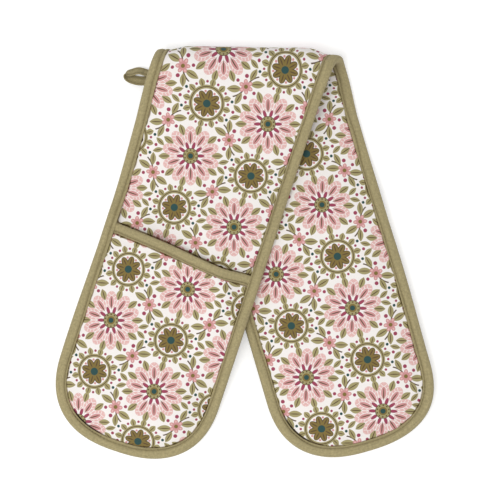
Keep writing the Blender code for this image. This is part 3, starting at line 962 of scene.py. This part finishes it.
def cloth_sheet(lie, rows, knots, flange, skip_row=None):
    """One ply on the flat: its knots, and a flange out under the tape, but for one row."""
    width = len(COLUMNS)
    shape = grid(width, len(rows))
    outward = {}
    for index, knot in enumerate(shape.verts):
        row, column = divmod(index, width)
        knot.co = knots[index]
        outward[knot] = lie.net(COLUMNS[column], rows[row])[1]
    border = [
        edge
        for edge in shape.edges
        if edge.is_boundary and {knot.index // width for knot in edge.verts} != {skip_row}
    ]
    starts = {knot for edge in border for knot in edge.verts}
    for knot in bmesh.ops.extrude_edge_only(shape, edges=border)["geom"]:
        if isinstance(knot, bmesh.types.BMVert):
            root = next(edge.other_vert(knot) for edge in knot.link_edges if edge.other_vert(knot) in starts)
            knot.co.x += outward[root].x * flange
            knot.co.y += outward[root].y * flange
    return shape


def refined(shape):
    """The same form after one smooth subdivision, as a new bmesh."""
    mesh = bpy.data.meshes.new("refining")
    shape.to_mesh(mesh)
    shape.free()
    piece = bpy.data.objects.new("refining", mesh)
    bpy.context.scene.collection.objects.link(piece)
    modifier = piece.modifiers.new("finer", "SUBSURF")
    modifier.levels = modifier.render_levels = 1
    modifier.boundary_smooth = "PRESERVE_CORNERS"
    bpy.context.view_layer.update()
    evaluated = piece.evaluated_get(bpy.context.evaluated_depsgraph_get())
    finer = bmesh.new()
    finer.from_mesh(evaluated.to_mesh())
    evaluated.to_mesh_clear()
    bpy.data.objects.remove(piece, do_unlink=True)
    bpy.data.meshes.remove(mesh)
    return finer


def mark_cloth(shape, lie, in_pocket=False, under_pocket=False):
    """Gives every corner its place on the flat cloth, for weave and print, and its distance from the tape,
    which places the painted seam shade.
    """
    layer = shape.loops.layers.uv.get("cloth") or shape.loops.layers.uv.new("cloth")
    border = shape.loops.layers.uv.new("border")
    inward = {}
    for knot in shape.verts:
        inward[knot] = (1 - lie.seam_share(knot.co.x, knot.co.y)) * lie.inner_half
        if in_pocket:
            past_mouth = lie.middle_of(knot.co.x, knot.co.y) - lie.mouth - lie.mouth_flange
            inward[knot] = min(inward[knot], past_mouth)
        # On the front cover, the distance from the pocket mouth's edge, so painted contact shadow lines the
        # mouth tape
        elif under_pocket:
            side = UPPER if knot.co.y < 0 else LOWER
            mouth = lie.mouth + lie.mouth_sag(side, knot.co.x) - lie.wall - 0.4 * MILLIMETRE
            inward[knot] = min(inward[knot], mouth - lie.middle_of(knot.co.x, knot.co.y))
    for face in shape.faces:
        for loop in face.loops:
            loop[layer].uv = (loop.vert.co.x, loop.vert.co.y)
            loop[border].uv = (inward[loop.vert], 0.0)


def parted(shape, lie):
    """Cuts a flat form along both ends of the fold: the upper arm's, the fold's and the lower arm's part."""
    reach = lie.bend + lie.lie.split
    normal = Vector((-lie.sin, lie.cos, 0.0))
    for side in (UPPER, LOWER):
        geometry = shape.verts[:] + shape.edges[:] + shape.faces[:]
        place = Vector((0.0, lie.lie.offset, 0.0)) + normal * side * reach
        bmesh.ops.bisect_plane(shape, geom=geometry, dist=MERGE_REACH, plane_co=place, plane_no=normal)
    parts = {}
    for part, low, high in (("upper", -1.0, -reach), ("fold", -reach, reach), ("lower", reach, 1.0)):
        piece = shape.copy()
        strays = [
            face for face in piece.faces if not low < lie.past_fold(*face.calc_center_median().xy) < high
        ]
        bmesh.ops.delete(piece, geom=strays, context="FACES")
        if piece.faces:
            parts[part] = piece
        else:
            piece.free()
    shape.free()
    return parts


def sagged(shape, lie, side):
    """Draws a pocket ply's first rows towards the tip, where the mouth sags."""
    for knot in shape.verts:
        behind = lie.middle_of(knot.co.x, knot.co.y) - lie.mouth
        fade = 1 - smooth(behind / (lie.belly - lie.mouth))
        knot.co.y += side * lie.mouth_sag(side, knot.co.x) * fade
    return shape


def laid(shape, lie):
    for knot in shape.verts:
        knot.co = lie.lay(*knot.co)
    return shape


# What carries each part, apart from the fold's, which bends between the arms
BODIES = {"upper": "upper_arm", "lower": "lower_arm", "loop": "hanging_loop"}

# Folds of tape sharper than this stay crisp
CRISP = math.radians(60)

SHEETS = {}


def finished(name, shape, material, part, lie, slot, replaced=None, wrong_way=None, thick=0.0):
    """A laid shape as a piece: smooth, the right way out, carried by its part, and in its node's place."""
    for edge in shape.edges:
        edge.smooth = not edge.is_boundary
    mesh = bpy.data.meshes.new(name)
    shape.to_mesh(mesh)
    shape.free()
    if material == "tape":
        mesh.set_sharp_from_angle(angle=CRISP)
    if wrong_way:
        turned = bmesh.new()
        turned.from_mesh(mesh)
        if wrong_way(turned):
            bmesh.ops.reverse_faces(turned, faces=turned.faces[:])
        turned.to_mesh(mesh)
        turned.free()
    mesh.materials.append(finish_of(material))
    piece = bpy.data.objects.new(name, mesh)
    bpy.context.scene.collection.objects.link(piece)
    if thick:
        wall = piece.modifiers.new("thickness", "SOLIDIFY")
        wall.thickness = thick
        wall.offset = -1.0
        wall.use_even_offset = False
    if part == "fold":
        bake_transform(piece)
    else:
        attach(piece, BODIES[part])
    if replaced:
        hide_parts(replaced)
    return piece


def inside_out(shape):
    """Evens out a closed shape's faces, and says whether they point inwards."""
    bmesh.ops.recalc_face_normals(shape, faces=shape.faces[:])
    return shape.calc_volume(signed=True) < 0


def cover(name, shape, flat_area, material, part, lie, slot, front, replaced=None):
    """A ply of cloth: front covers look away from the bend's middle, back covers and linings towards it."""

    def faces_in(laid_shape):
        laid_shape.normal_update()
        if part == "fold":
            up = min(laid_shape.faces, key=lambda face: face.calc_center_median().z).normal.z
            return up > 0 if front else up < 0
        up = sum(face.normal.z * face.calc_area() for face in laid_shape.faces)
        return up < 0 if (part == "upper") == front else up > 0

    piece = finished(name, laid(shape, lie), material, part, lie, slot, replaced, faces_in, lie.strip.cover)
    SHEETS[name] = (piece, flat_area)


def area_of(shape):
    return sum(face.calc_area() for face in shape.faces)


def filled(shape):
    """A cut shape, closed again."""
    bmesh.ops.holes_fill(shape, edges=[edge for edge in shape.edges if edge.is_boundary])
    return shape


def closed_pad(lie, rows, backs, fronts, inset, flange, skip_row=None):
    """A closed body of wadding between two plies, a little inside them."""
    sheets = []
    for places, outward in ((backs, -1.0), (fronts, 1.0)):
        inner = [place - Vector((0.0, 0.0, outward * inset)) for place in places]
        sheets.append(cloth_sheet(lie, rows, inner, flange, skip_row))
    body, lid = sheets
    mesh = bpy.data.meshes.new("lid")
    lid.to_mesh(mesh)
    lid.free()
    body.from_mesh(mesh)
    bpy.data.meshes.remove(mesh)
    bmesh.ops.bridge_loops(body, edges=[edge for edge in body.edges if edge.is_boundary])
    mark_cloth(body, lie)
    return body


# The strip

# How far a ply keeps inside the tape's outer edge
STRIP_TUCK, POCKET_TUCK = 1.5 * MILLIMETRE, 2.0 * MILLIMETRE

# Depth of the gathers along every seam
PUCKER = 0.5 * MILLIMETRE

# Share of the half width over which the padding's waves die out at the seam
WAVE_EDGE = 0.25

# Share of its swelling, and of its waves, that a face keeps where other cloth lies on it
CROWDED, PRESSED = 0.2, 0.3


def strip_levels(lie, rows):
    """The back and front faces of the strip after its padding has swelled."""

    def level(outward):
        return lambda across, lengthways: outward * lie.panel_face(lie.seam_share(across, lengthways))

    def pinned(index):
        row, column = divmod(index, len(COLUMNS))
        return row in (0, len(rows) - 1) or column in (0, len(COLUMNS) - 1)

    def cap(face, across, lengthways):
        swell = lie.strip.swell
        crowded = CROWDED * swell
        if face == 1:
            in_pocket = smooth((lie.middle_of(across, lengthways) - lie.mouth + 0.03) / 0.03)
            return mix(swell, crowded, in_pocket)
        if lengthways < 0:
            return crowded
        return mix(swell, crowded, lie.under_upper_arm(across, lengthways))

    backs, fronts = swollen(lie, rows, level(-1.0), level(1.0), pinned, cap, 5.0)
    for places, outward, seed in ((backs, -1.0, 3.0), (fronts, 1.0, 11.0)):
        for place in places:
            inside = smooth((1 - lie.seam_share(place.x, place.y)) / WAVE_EDGE)
            rise = soft_waves(place, 0.45 * MILLIMETRE, seed) * inside + edge_pucker(lie, place, PUCKER)
            if outward > 0:
                pressed = lie.middle_of(place.x, place.y) > lie.mouth
            else:
                pressed = place.y < 0 or lie.under_upper_arm(place.x, place.y) > 0
            place.z += outward * (rise * PRESSED if pressed else rise)
    return backs, fronts


def build_strip():
    lie = Lie(bpy.context.scene)
    rows = even(-lie.end, lie.end, 176)
    backs, fronts = strip_levels(lie, rows)
    flange = lie.flange - STRIP_TUCK
    for kind, places, front in (("back_cover", backs, False), ("front_cover", fronts, True)):
        material = "front_print" if front else "back_print"
        shape = refined(cloth_sheet(lie, rows, places, flange))
        mark_cloth(shape, lie, under_pocket=front)
        for part, flat in parted(shape, lie).items():
            replaced = None if part == "fold" else f"{part}_{kind}"
            name = f"{part}_{kind}_cloth"
            cover(name, flat, area_of(flat), material, part, lie, "printed_cotton", front, replaced)
    shape = closed_pad(lie, rows, backs, fronts, lie.strip.cover + 0.15 * MILLIMETRE, flange)
    for part, flat in parted(shape, lie).items():
        replaced = None if part == "fold" else f"{part}_wadding"
        body = laid(filled(flat), lie)
        piece = finished(f"{part}_strip_padding", body, "wadding", part, lie, "wadding", replaced, inside_out)


# The pockets


def build_pocket(side):
    lie = Lie(bpy.context.scene)
    name = ARM_NAMES[side]
    rows = [side * row for row in even(lie.mouth, lie.end, 44)]

    def level(layer, face):
        return lambda across, lengthways: lie.pocket_levels(
            side, lie.middle_of(across, lengthways), lie.seam_share(across, lengthways)
        )[layer][face]

    def pinned(index):
        row, column = divmod(index, len(COLUMNS))
        return row <= 2 or row == len(rows) - 1 or column in (0, len(COLUMNS) - 1)

    def cap(face, across, lengthways):
        return lie.pocket.swell * (1.0 if face == 1 else 0.15)

    linings, covers = swollen(lie, rows, level("lining", 0), level("cover", 1), pinned, cap, 4.0)
    for place in covers:
        behind_mouth = smooth((lie.middle_of(place.x, place.y) - lie.mouth - lie.mouth_flange) / 0.02)
        inside = smooth((1 - lie.seam_share(place.x, place.y)) / WAVE_EDGE) * behind_mouth
        place.z += soft_waves(place, 0.5 * MILLIMETRE, 5.0 + side) * inside
        place.z += edge_pucker(lie, place, PUCKER) * behind_mouth
    for place in (*linings, *covers):
        place.z += lie.gape(side, place.x, lie.middle_of(place.x, place.y))
    flange = lie.flange - POCKET_TUCK
    for kind, places, material, slot in (
        ("pocket_lining", linings, "lining", "lining_cotton"),
        ("pocket_cover", covers, "pocket_print", "printed_cotton"),
    ):
        shape = refined(cloth_sheet(lie, rows, places, flange, skip_row=0))
        mark_cloth(shape, lie, in_pocket=True)
        flat_area = area_of(shape)
        node, front = f"{name}_{kind}", kind == "pocket_cover"
        cover(f"{node}_cloth", sagged(shape, lie, side), flat_area, material, name, lie, slot, front, node)
    inset = lie.strip.cover + 0.1 * MILLIMETRE
    pad = laid(sagged(closed_pad(lie, rows, linings, covers, inset, flange - MILLIMETRE, 0), lie, side), lie)
    replaced = f"{name}_pocket_wadding"
    piece = finished(f"{name}_pocket_padding", pad, "wadding", name, lie, "wadding", replaced, inside_out)


# The tape and its stitches

# Width of the roll at the tape's inner edge
TAPE_ROLL = 0.5 * MILLIMETRE

# Steps round the tape's outer edge, and round a quarter of the strip's tip
ARC_STEPS, TIP_STEPS = 14, 26

# Which point of a tape's section lies under its front stitches
STITCH_POINT = 5

# Distance from one section of the tape to the next
TAPE_PITCH = 4 * MILLIMETRE

# How far the tape's outer edge is even before its ripples set in
RIPPLE_START = 0.004


def wrapped_section(lie, flange, low, high, wander=0.0):
    """A plump tape folded round an edge: its outline's (inward, level) points, and which are stitched."""
    binding = lie.binding
    thick, plump = binding.thick, binding.plump
    stitch = flange - binding.stitch_inset - binding.stitch_wander * wander
    centre = flange * 0.42
    front = high + thick + plump
    back = low - thick - plump
    middle, half = (front + back) / 2, (front - back) / 2
    reach = centre + lie.wall
    roll, lip = TAPE_ROLL, binding.lip * wander
    points = [
        (flange, high + 0.15 * thick),
        (flange - 0.2 * roll, high + 0.9 * thick),
        (flange - roll, high + 1.15 * thick + 0.7 * lip),
        ((flange + stitch) / 2, high + 1.1 * thick + lip),
        (stitch + 0.55 * roll, high + 0.95 * thick),
        (stitch, high + mix(0.55, 0.85, wander) * thick),
        (stitch - 0.55 * roll, high + 0.95 * thick),
        (stitch - 2.4 * roll, high + thick + 0.55 * plump),
        (stitch - 4.8 * roll, high + thick + 0.92 * plump),
    ]
    power = 2 / binding.roundness
    arc = []
    for step in range(ARC_STEPS + 1):
        turn = math.pi / 2 - math.pi * step / ARC_STEPS
        x = math.cos(turn) ** power if step not in (0, ARC_STEPS) else 0.0
        y = math.copysign(abs(math.sin(turn)) ** power, turn)
        arc.append((centre - reach * x, middle + half * y))
    mirrored = [(inward, middle * 2 - level) for inward, level in reversed(points)]
    marks = (STITCH_POINT, len(points) + len(arc) + len(points) - 1 - STITCH_POINT)
    inner = [
        (flange - roll, low - 0.1 * thick),
        (0.35 * flange, low),
        (0.35 * roll, low + 0.15 * (high - low)),
        (0.35 * roll, high - 0.15 * (high - low)),
        (0.35 * flange, high),
        (flange - roll, high + 0.1 * thick),
    ]
    return points + arc + mirrored + inner, marks


def swept(stations, around_closed, marks):
    """A tape's skin: closed outlines in a row, as one grid whose sides are merged, sewn along its marks."""
    width, count = len(stations[0]), len(stations)
    shape = grid(width + 1, count + 1 if around_closed else count)
    layer = shape.loops.layers.uv.new("cloth")
    border = shape.loops.layers.uv.new("border")
    runs = distances([station[0] for station in stations])
    # Each point's distance from the nearest stitch groove, which places the painted shade in the groove
    girths, from_stitch = [], []
    for station in (*stations, stations[0]):
        girth = distances([*station, station[0]])
        girths.append(girth)
        from_stitch.append([min(abs(place - girth[mark]) for mark in marks) for place in girth])
    for face in shape.faces:
        for loop in face.loops:
            row, column = divmod(loop.vert.index, width + 1)
            loop[layer].uv = (girths[row][column], runs[row])
            loop[border].uv = (from_stitch[row][column], 0.0)
    for knot in shape.verts:
        row, column = divmod(knot.index, width + 1)
        knot.co = stations[row % count][column % width]
    bmesh.ops.remove_doubles(shape, verts=shape.verts[:], dist=MERGE_REACH)
    return shape if around_closed else filled(shape)


def distances(points):
    """How far along its run each point stands, with one more for the way back to the first."""
    found = [0.0]
    for index, point in enumerate(points):
        found.append(found[-1] + (points[(index + 1) % len(points)] - point).length)
    return found


def border_rows(lie, pitch):
    """Signed rows and columns round the whole strip, from the lower tip's middle and back to it."""
    straight = even(-lie.tip_start, lie.tip_start, round(2 * lie.tip_start / pitch))
    tip = even(lie.tip_start, lie.end, TIP_STEPS)[1:]
    across = even(-1.0, 1.0, 2 * TIP_STEPS)[1:-1]
    found = []
    for arm, run, end in ((UPPER, straight[::-1], across[::-1]), (LOWER, straight, across)):
        found += [(-arm, row) for row in run]
        found += [(-arm, arm * row) for row in tip]
        found += [(column, arm * lie.end) for column in end]
        found += [(arm, arm * row) for row in reversed(tip)]
    return found


def tape_stations(lie):
    stations = []
    back = -lie.panel_half_at_seam - lie.strip.ply_gap
    for column, row in border_rows(lie, TAPE_PITCH):
        place, outward = lie.net(column, row)
        side = UPPER if row < 0 else LOWER
        high = lie.edge_front(side, abs(row)) + lie.strip.ply_gap
        tip = smooth((abs(row) - lie.belly) / (lie.tip_start - lie.belly))
        usual = 0.12 + 0.55 * smooth(-column) * (1 - tip)
        wander = smooth(usual + 0.7 * noise.noise(Vector((place.x / 0.05, place.y / 0.05, 7.0))))
        outline, marks = wrapped_section(lie, lie.flange, back, high, wander)
        ripple = 0.16 * MILLIMETRE * noise.noise(Vector((place.x / 0.012, place.y / 0.012, 4.0)))
        station = []
        for inward, level in outline:
            at = place + outward * (lie.flange - inward)
            puff = ripple * smooth((lie.flange - inward) / RIPPLE_START)
            station.append(Vector((at.x, at.y, level + math.copysign(puff, level))))
        stations.append(station)
    return stations, marks


def build_edge_tape():
    lie = Lie(bpy.context.scene)
    stations, marks = tape_stations(lie)
    for part, flat in parted(swept(stations, True, marks), lie).items():
        replaced = None if part == "fold" else f"{part}_edge_binding"
        body = laid(filled(flat), lie)
        finished(f"{part}_edge_tape", body, "tape", part, lie, "binding_tape", replaced, inside_out)
    runs = [[station[mark].copy() for station in (*stations, stations[0])] for mark in marks]
    stitch_line("edge_stitches", lie, runs)


def stitch_line(name, lie, runs, part=None):
    """Rows of stitches along flat runs, sorted by the part that carries them."""
    reach = lie.bend + lie.lie.split
    bead = thread_bead()
    shapes = {}
    for run in runs:
        for start, end in stitch_ends(lie, run):
            past = lie.past_fold(start.x, start.y)
            carrier = part or ("fold" if abs(past) < reach else "upper" if past < 0 else "lower")
            shape = shapes.setdefault(carrier, bmesh.new())
            one_stitch(shape, bead, lie.lay(*start), lie.lay(*end), lie.binding.thread)
    for carrier, shape in shapes.items():
        finished(f"{carrier}_{name}", shape, "thread", carrier, lie, "binding_tape")


def stitch_ends(lie, run):
    """The two ends of each stitch along a run of points."""
    lengths = distances(run)[:-1]
    count = int(lengths[-1] / lie.binding.stitch_pitch)
    pitch = lengths[-1] / count
    segment = 0

    def point_at(distance):
        nonlocal segment
        while segment < len(run) - 2 and lengths[segment + 1] < distance:
            segment += 1
        span = lengths[segment + 1] - lengths[segment]
        return run[segment].lerp(run[segment + 1], (distance - lengths[segment]) / span)

    starts = [index * pitch for index in range(count)]
    return [(point_at(start), point_at(start + lie.binding.stitch_long)) for start in starts]


def thread_bead():
    """A little round body, as long and as wide as one metre, that every stitch is drawn out from."""
    shape = bmesh.new()
    bmesh.ops.create_uvsphere(shape, u_segments=6, v_segments=5, radius=0.5)
    for face in shape.faces:
        face.smooth = True
    bead = bpy.data.meshes.new("bead")
    shape.to_mesh(bead)
    shape.free()
    return bead


def one_stitch(shape, bead, start, end, thread):
    """A short bead of thread whose ends dip into the cloth."""
    direction = end - start
    turn = direction.to_track_quat("Z", "Y").to_matrix().to_4x4()
    size = Matrix.Diagonal((thread, thread, direction.length, 1.0))
    placed = bead.copy()
    placed.transform(Matrix.Translation((start + end) / 2) @ turn @ size)
    shape.from_mesh(placed)
    bpy.data.meshes.remove(placed)


def build_mouth_tape(side):
    lie = Lie(bpy.context.scene)
    name = ARM_NAMES[side]
    reach = lie.inner_half + lie.flange - STRIP_TUCK
    gap, thick = lie.strip.ply_gap, lie.binding.thick
    flange = lie.mouth_flange - (lie.pocket.sag_all if side == UPPER else 0.0)
    stations = []
    for across in even(-reach, reach, 84):
        column = min(max(across / lie.inner_half, -1.0), 1.0)
        place, outward = lie.net(column, side * lie.mouth)
        if abs(column) == 1.0:
            place = place + outward * (abs(across) - lie.inner_half)
        levels = lie.pocket_levels(side, lie.mouth, lie.seam_share(place.x, place.y))
        low, high = levels["lining"][0] - gap, levels["cover"][1] + gap
        outline, marks = wrapped_section(lie, flange, low, high)
        covered = smooth((abs(across) - lie.inner_half + 0.002) / 0.004)
        ripple = 0.2 * MILLIMETRE * noise.noise(Vector((across / 0.013, side * 2.0, 9.0)))
        station = []
        for inward, level in outline:
            flattened = min(max(level, low - thick), high + thick)
            level += ripple * smooth((lie.mouth_flange - inward) / RIPPLE_START)
            level = mix(level, flattened, covered) + lie.gape(side, place.x, lie.mouth + inward)
            behind = inward + lie.mouth_sag(side, place.x)
            station.append(Vector((place.x, place.y + side * behind, level)))
        stations.append(station)
    body, replaced = laid(swept(stations, False, marks), lie), f"{name}_pocket_binding"
    finished(f"{name}_mouth_tape", body, "tape", name, lie, "binding_tape", replaced, inside_out)
    visible = stations[6:-6]
    stitch_line("mouth_stitches", lie, [[station[mark] for station in visible] for mark in marks], part=name)


# The hanging loop

LOOP_STEPS = 96

# Where the folded tape is stitched, and a quarter of its section, as shares of half its width and thickness
LOOP_STITCHES = 0.62
LOOP_QUARTER = [
    (0.0, 1.0), (0.30, 1.0), (0.52, 0.95), (LOOP_STITCHES, 0.70),
    (0.72, 0.98), (0.86, 1.0), (0.96, 0.72), (1.0, 0.0),
]

# Shares of the way round the loop, how far the tape swings there towards the fold, in millimetres, and how
# far it leans off upright, in degrees
LOOP_PATH = (
    (0.0, 0.0, -90.0),
    (0.235, -0.9, -54.0),
    (0.31, 1.9, -50.0),
    (0.373, 0.4, -50.0),
    (0.43, -0.4, -38.0),
    (0.5, -1.0, 8.0),
    (0.57, -3.1, 60.0),
    (0.627, -4.9, 80.0),
    (0.69, -6.0, 84.0),
    (0.765, -5.1, 84.0),
    (1.0, 0.0, 90.0),
)


def on_path(place, column):
    """A column of the loop's path at a share of the way round, on a smooth curve through its rows."""
    last = len(LOOP_PATH) - 1
    index = max(row for row in range(last) if LOOP_PATH[row][0] <= place)
    (start, low), (end, high) = ((LOOP_PATH[row][0], LOOP_PATH[row][column]) for row in (index, index + 1))
    span = end - start
    slopes = []
    for row in (index, index + 1):
        before, after = LOOP_PATH[max(row - 1, 0)], LOOP_PATH[min(row + 1, last)]
        slopes.append((after[column] - before[column]) / (after[0] - before[0]) * span)
    t = (place - start) / span
    return mix(low, high, smooth(t)) + t * (1 - t) * ((1 - t) * slopes[0] - t * slopes[1])


def loop_stations(lie, loop):
    """The tape's rounded sections from its first end, out round the eye and back."""
    up = Vector((0.0, 0.0, 1.0))
    outward = Vector((-1.0, 0.0, 0.0))
    seam_normal = Vector((-lie.cos, -lie.sin, 0.0))
    sideways, along_seam = outward.cross(up), seam_normal.cross(up)
    root = LOOP_PLACE + seam_normal * loop.seam_clearance
    centres = []
    for step in range(LOOP_STEPS + 1):
        turn = 2 * math.pi * step / LOOP_STEPS
        reach = loop.reach * (1 - math.cos(turn)) / 2
        swing = on_path(step / LOOP_STEPS, 1) * MILLIMETRE
        apart = (along_seam * loop.root_gap + up * loop.root_lift) * math.cos(turn / 2)
        centres.append(root + outward * reach + sideways * swing + apart)
    stations = []
    for step, centre in enumerate(centres):
        free = smooth(min(step, LOOP_STEPS - step) / (0.3 * LOOP_STEPS))
        ahead = centres[min(step + 1, LOOP_STEPS)] - centres[max(step - 1, 0)]
        straight = seam_normal if step < LOOP_STEPS / 2 else -seam_normal
        level_side = up.cross(mix(straight, ahead.normalized(), free)).normalized()
        lean = math.radians(on_path(step / LOOP_STEPS, 2))
        wide_way = up * math.cos(lean) - level_side * math.sin(lean)
        thick_way = up * math.sin(lean) + level_side * math.cos(lean)
        outline = tape_outline(loop)
        stations.append([centre + wide_way * across + thick_way * thick for across, thick in outline])
    return stations


def tape_outline(loop):
    """The folded tape's section: two rounded edges, a stitch dip near each, and a soft middle."""
    right = LOOP_QUARTER + [(x, -y) for x, y in reversed(LOOP_QUARTER[:-1])]
    left = [(-x, y) for x, y in reversed(right[1:-1])]
    return [(loop.wide / 2 * x, loop.thick / 2 * y) for x, y in right + left]


def build_loop():
    lie = Lie(bpy.context.scene)
    loop = bpy.context.scene.glove_loop
    stations = loop_stations(lie, loop)
    stitched = LOOP_STITCHES * loop.wide / 2
    marks = [index for index, (x, y) in enumerate(tape_outline(loop)) if abs(abs(x) - stitched) < 1e-6]
    body = swept(stations, False, marks)
    finished("hanging_loop_tape", body, "tape", "loop", lie, "loop_tape", "hanging_loop", inside_out)
    thread, bead = bmesh.new(), thread_bead()
    for mark in marks:
        for start, end in stitch_ends(lie, [station[mark] for station in stations]):
            one_stitch(thread, bead, start, end, lie.binding.thread)
    finished("loop_stitches", thread, "thread", "loop", lie, "loop_tape")


# Stage


def ray_kinds(tree):
    """Three fields: whether a ray comes from the camera, off something glossy, or through something clear."""
    light = tree.nodes.new("ShaderNodeLightPath")
    names = ("Is Camera Ray", "Is Glossy Ray", "Is Transmission Ray")
    return [Field(tree, light.outputs[name]) for name in names]


def floor_finish():
    """A pale floor that the camera sees as white, and that keeps the glove's shadow."""
    material = bpy.data.materials.new("pale_floor")
    material.use_nodes = True
    tree = material.node_tree
    camera, glossy, through = ray_kinds(tree)
    wired(tree, tree.nodes["Principled BSDF"], {
        "Base Color": (0.80, 0.80, 0.80, 1.0),
        "Roughness": 0.9,
        "Specular IOR Level": 0.0,
        "Emission Color": (1.0, 1.0, 1.0, 1.0),
        "Emission Strength": (camera + glossy + through).worked("MULTIPLY", 0.40).socket,
    })
    return material


def build_stage():
    scene = bpy.context.scene
    stage = scene.glove_stage
    bpy.ops.mesh.primitive_plane_add(size=8.0, location=(0.0, 0.0, 0.0))
    floor = bpy.context.object
    floor.name = "floor"
    floor.data.materials.append(floor_finish())
    world = bpy.data.worlds.new("surround")
    world.use_nodes = True
    tree = world.node_tree
    camera, glossy, through = ray_kinds(tree)
    seen = camera.worked("MAXIMUM", glossy).worked("MAXIMUM", through)
    strength = seen.worked("MULTIPLY_ADD", 1.0 - stage.world_strength, stage.world_strength)
    wired(tree, tree.nodes["Background"], {"Color": (1.0, 1.0, 1.0, 1.0), "Strength": strength.socket})
    scene.world = world
    lamp = bpy.data.lights.new("key", "AREA")
    lamp.shape = "DISK"
    lamp.size = 1.1
    lamp.energy = stage.key_power
    key = bpy.data.objects.new("key", lamp)
    key.location = (-0.62, -0.52, 1.75)
    aim = Vector((0.0, 0.0, 0.0)) - key.location
    key.rotation_mode = "QUATERNION"
    key.rotation_quaternion = aim.to_track_quat("-Z", "Y")
    scene.collection.objects.link(key)
    camera = bpy.data.cameras.new("camera")
    eye = bpy.data.objects.new("camera", camera)
    eye.location = (stage.view_x, stage.view_y, stage.camera_height)
    eye.rotation_euler = (0.0, 0.0, stage.roll)
    camera.angle = 2 * math.atan(stage.view_wide / 2 / stage.camera_height)
    scene.collection.objects.link(eye)
    scene.camera = eye
    scene.view_settings.view_transform = "Standard"


def declare_sheets():
    """Works out how large each ply was cut, but neither keeps nor reports it."""
    for piece, flat_area in SHEETS.values():
        box = flat_box(piece)
        min(flat_area, box[0] * box[1])


def flat_box(piece):
    layer = piece.data.uv_layers["cloth"]
    xs = [loop.uv[0] for loop in layer.data]
    ys = [loop.uv[1] for loop in layer.data]
    return max(xs) - min(xs), max(ys) - min(ys)


# Operators, panel and main


class BuildStage(bpy.types.Operator):
    """Lay the pale floor and set the light and the camera."""

    bl_idname = "glove.build_stage"
    bl_label = "Stage"

    def execute(self, context):
        build_stage()
        return {"FINISHED"}


class BuildStrip(bpy.types.Operator):
    """Sew the long padded strip: both covers and the wadding between them."""

    bl_idname = "glove.build_strip"
    bl_label = "Padded strip"

    def execute(self, context):
        build_strip()
        return {"FINISHED"}


class BuildPockets(bpy.types.Operator):
    """Sew a hand pocket on each end, with its wadding and lining."""

    bl_idname = "glove.build_pockets"
    bl_label = "Pockets"

    def execute(self, context):
        for side in (LOWER, UPPER):
            build_pocket(side)
        return {"FINISHED"}


class BindEdges(bpy.types.Operator):
    """Bind the strip's edge and both mouths with stitched tape."""

    bl_idname = "glove.bind_edges"
    bl_label = "Bindings"

    def execute(self, context):
        build_edge_tape()
        for side in (LOWER, UPPER):
            build_mouth_tape(side)
        return {"FINISHED"}


class BuildLoop(bpy.types.Operator):
    """Fold a length of tape into the hanging loop."""

    bl_idname = "glove.build_loop"
    bl_label = "Hanging loop"

    def execute(self, context):
        build_loop()
        return {"FINISHED"}


class GlovePanel(bpy.types.Panel):
    """Lists the steps that build the glove, and its sizes."""

    bl_idname = "VIEW3D_PT_oven_glove"
    bl_label = "Double oven glove"
    bl_space_type = "VIEW_3D"
    bl_region_type = "UI"
    bl_category = "Oven glove"

    def draw(self, context):
        for operator in OPERATORS:
            self.layout.operator(operator.bl_idname)
        for name, group in GROUPS.items():
            box = self.layout.box()
            box.label(text=group.__doc__)
            for key in group.__annotations__:
                box.prop(getattr(context.scene, name), key)


OPERATORS = (BuildStage, BuildStrip, BuildPockets, BindEdges, BuildLoop)


def register():
    for kind in (*GROUPS.values(), *OPERATORS, GlovePanel):
        bpy.utils.register_class(kind)
    for name, group in GROUPS.items():
        setattr(bpy.types.Scene, name, PointerProperty(type=group))


def unregister():
    for name in GROUPS:
        delattr(bpy.types.Scene, name)
    for kind in reversed((*GROUPS.values(), *OPERATORS, GlovePanel)):
        bpy.utils.unregister_class(kind)


def main():
    register()
    bpy.ops.glove.build_stage()
    bpy.ops.glove.build_strip()
    bpy.ops.glove.build_pockets()
    bpy.ops.glove.bind_edges()
    bpy.ops.glove.build_loop()
    declare_sheets()


if __name__ == "__main__":
    main()
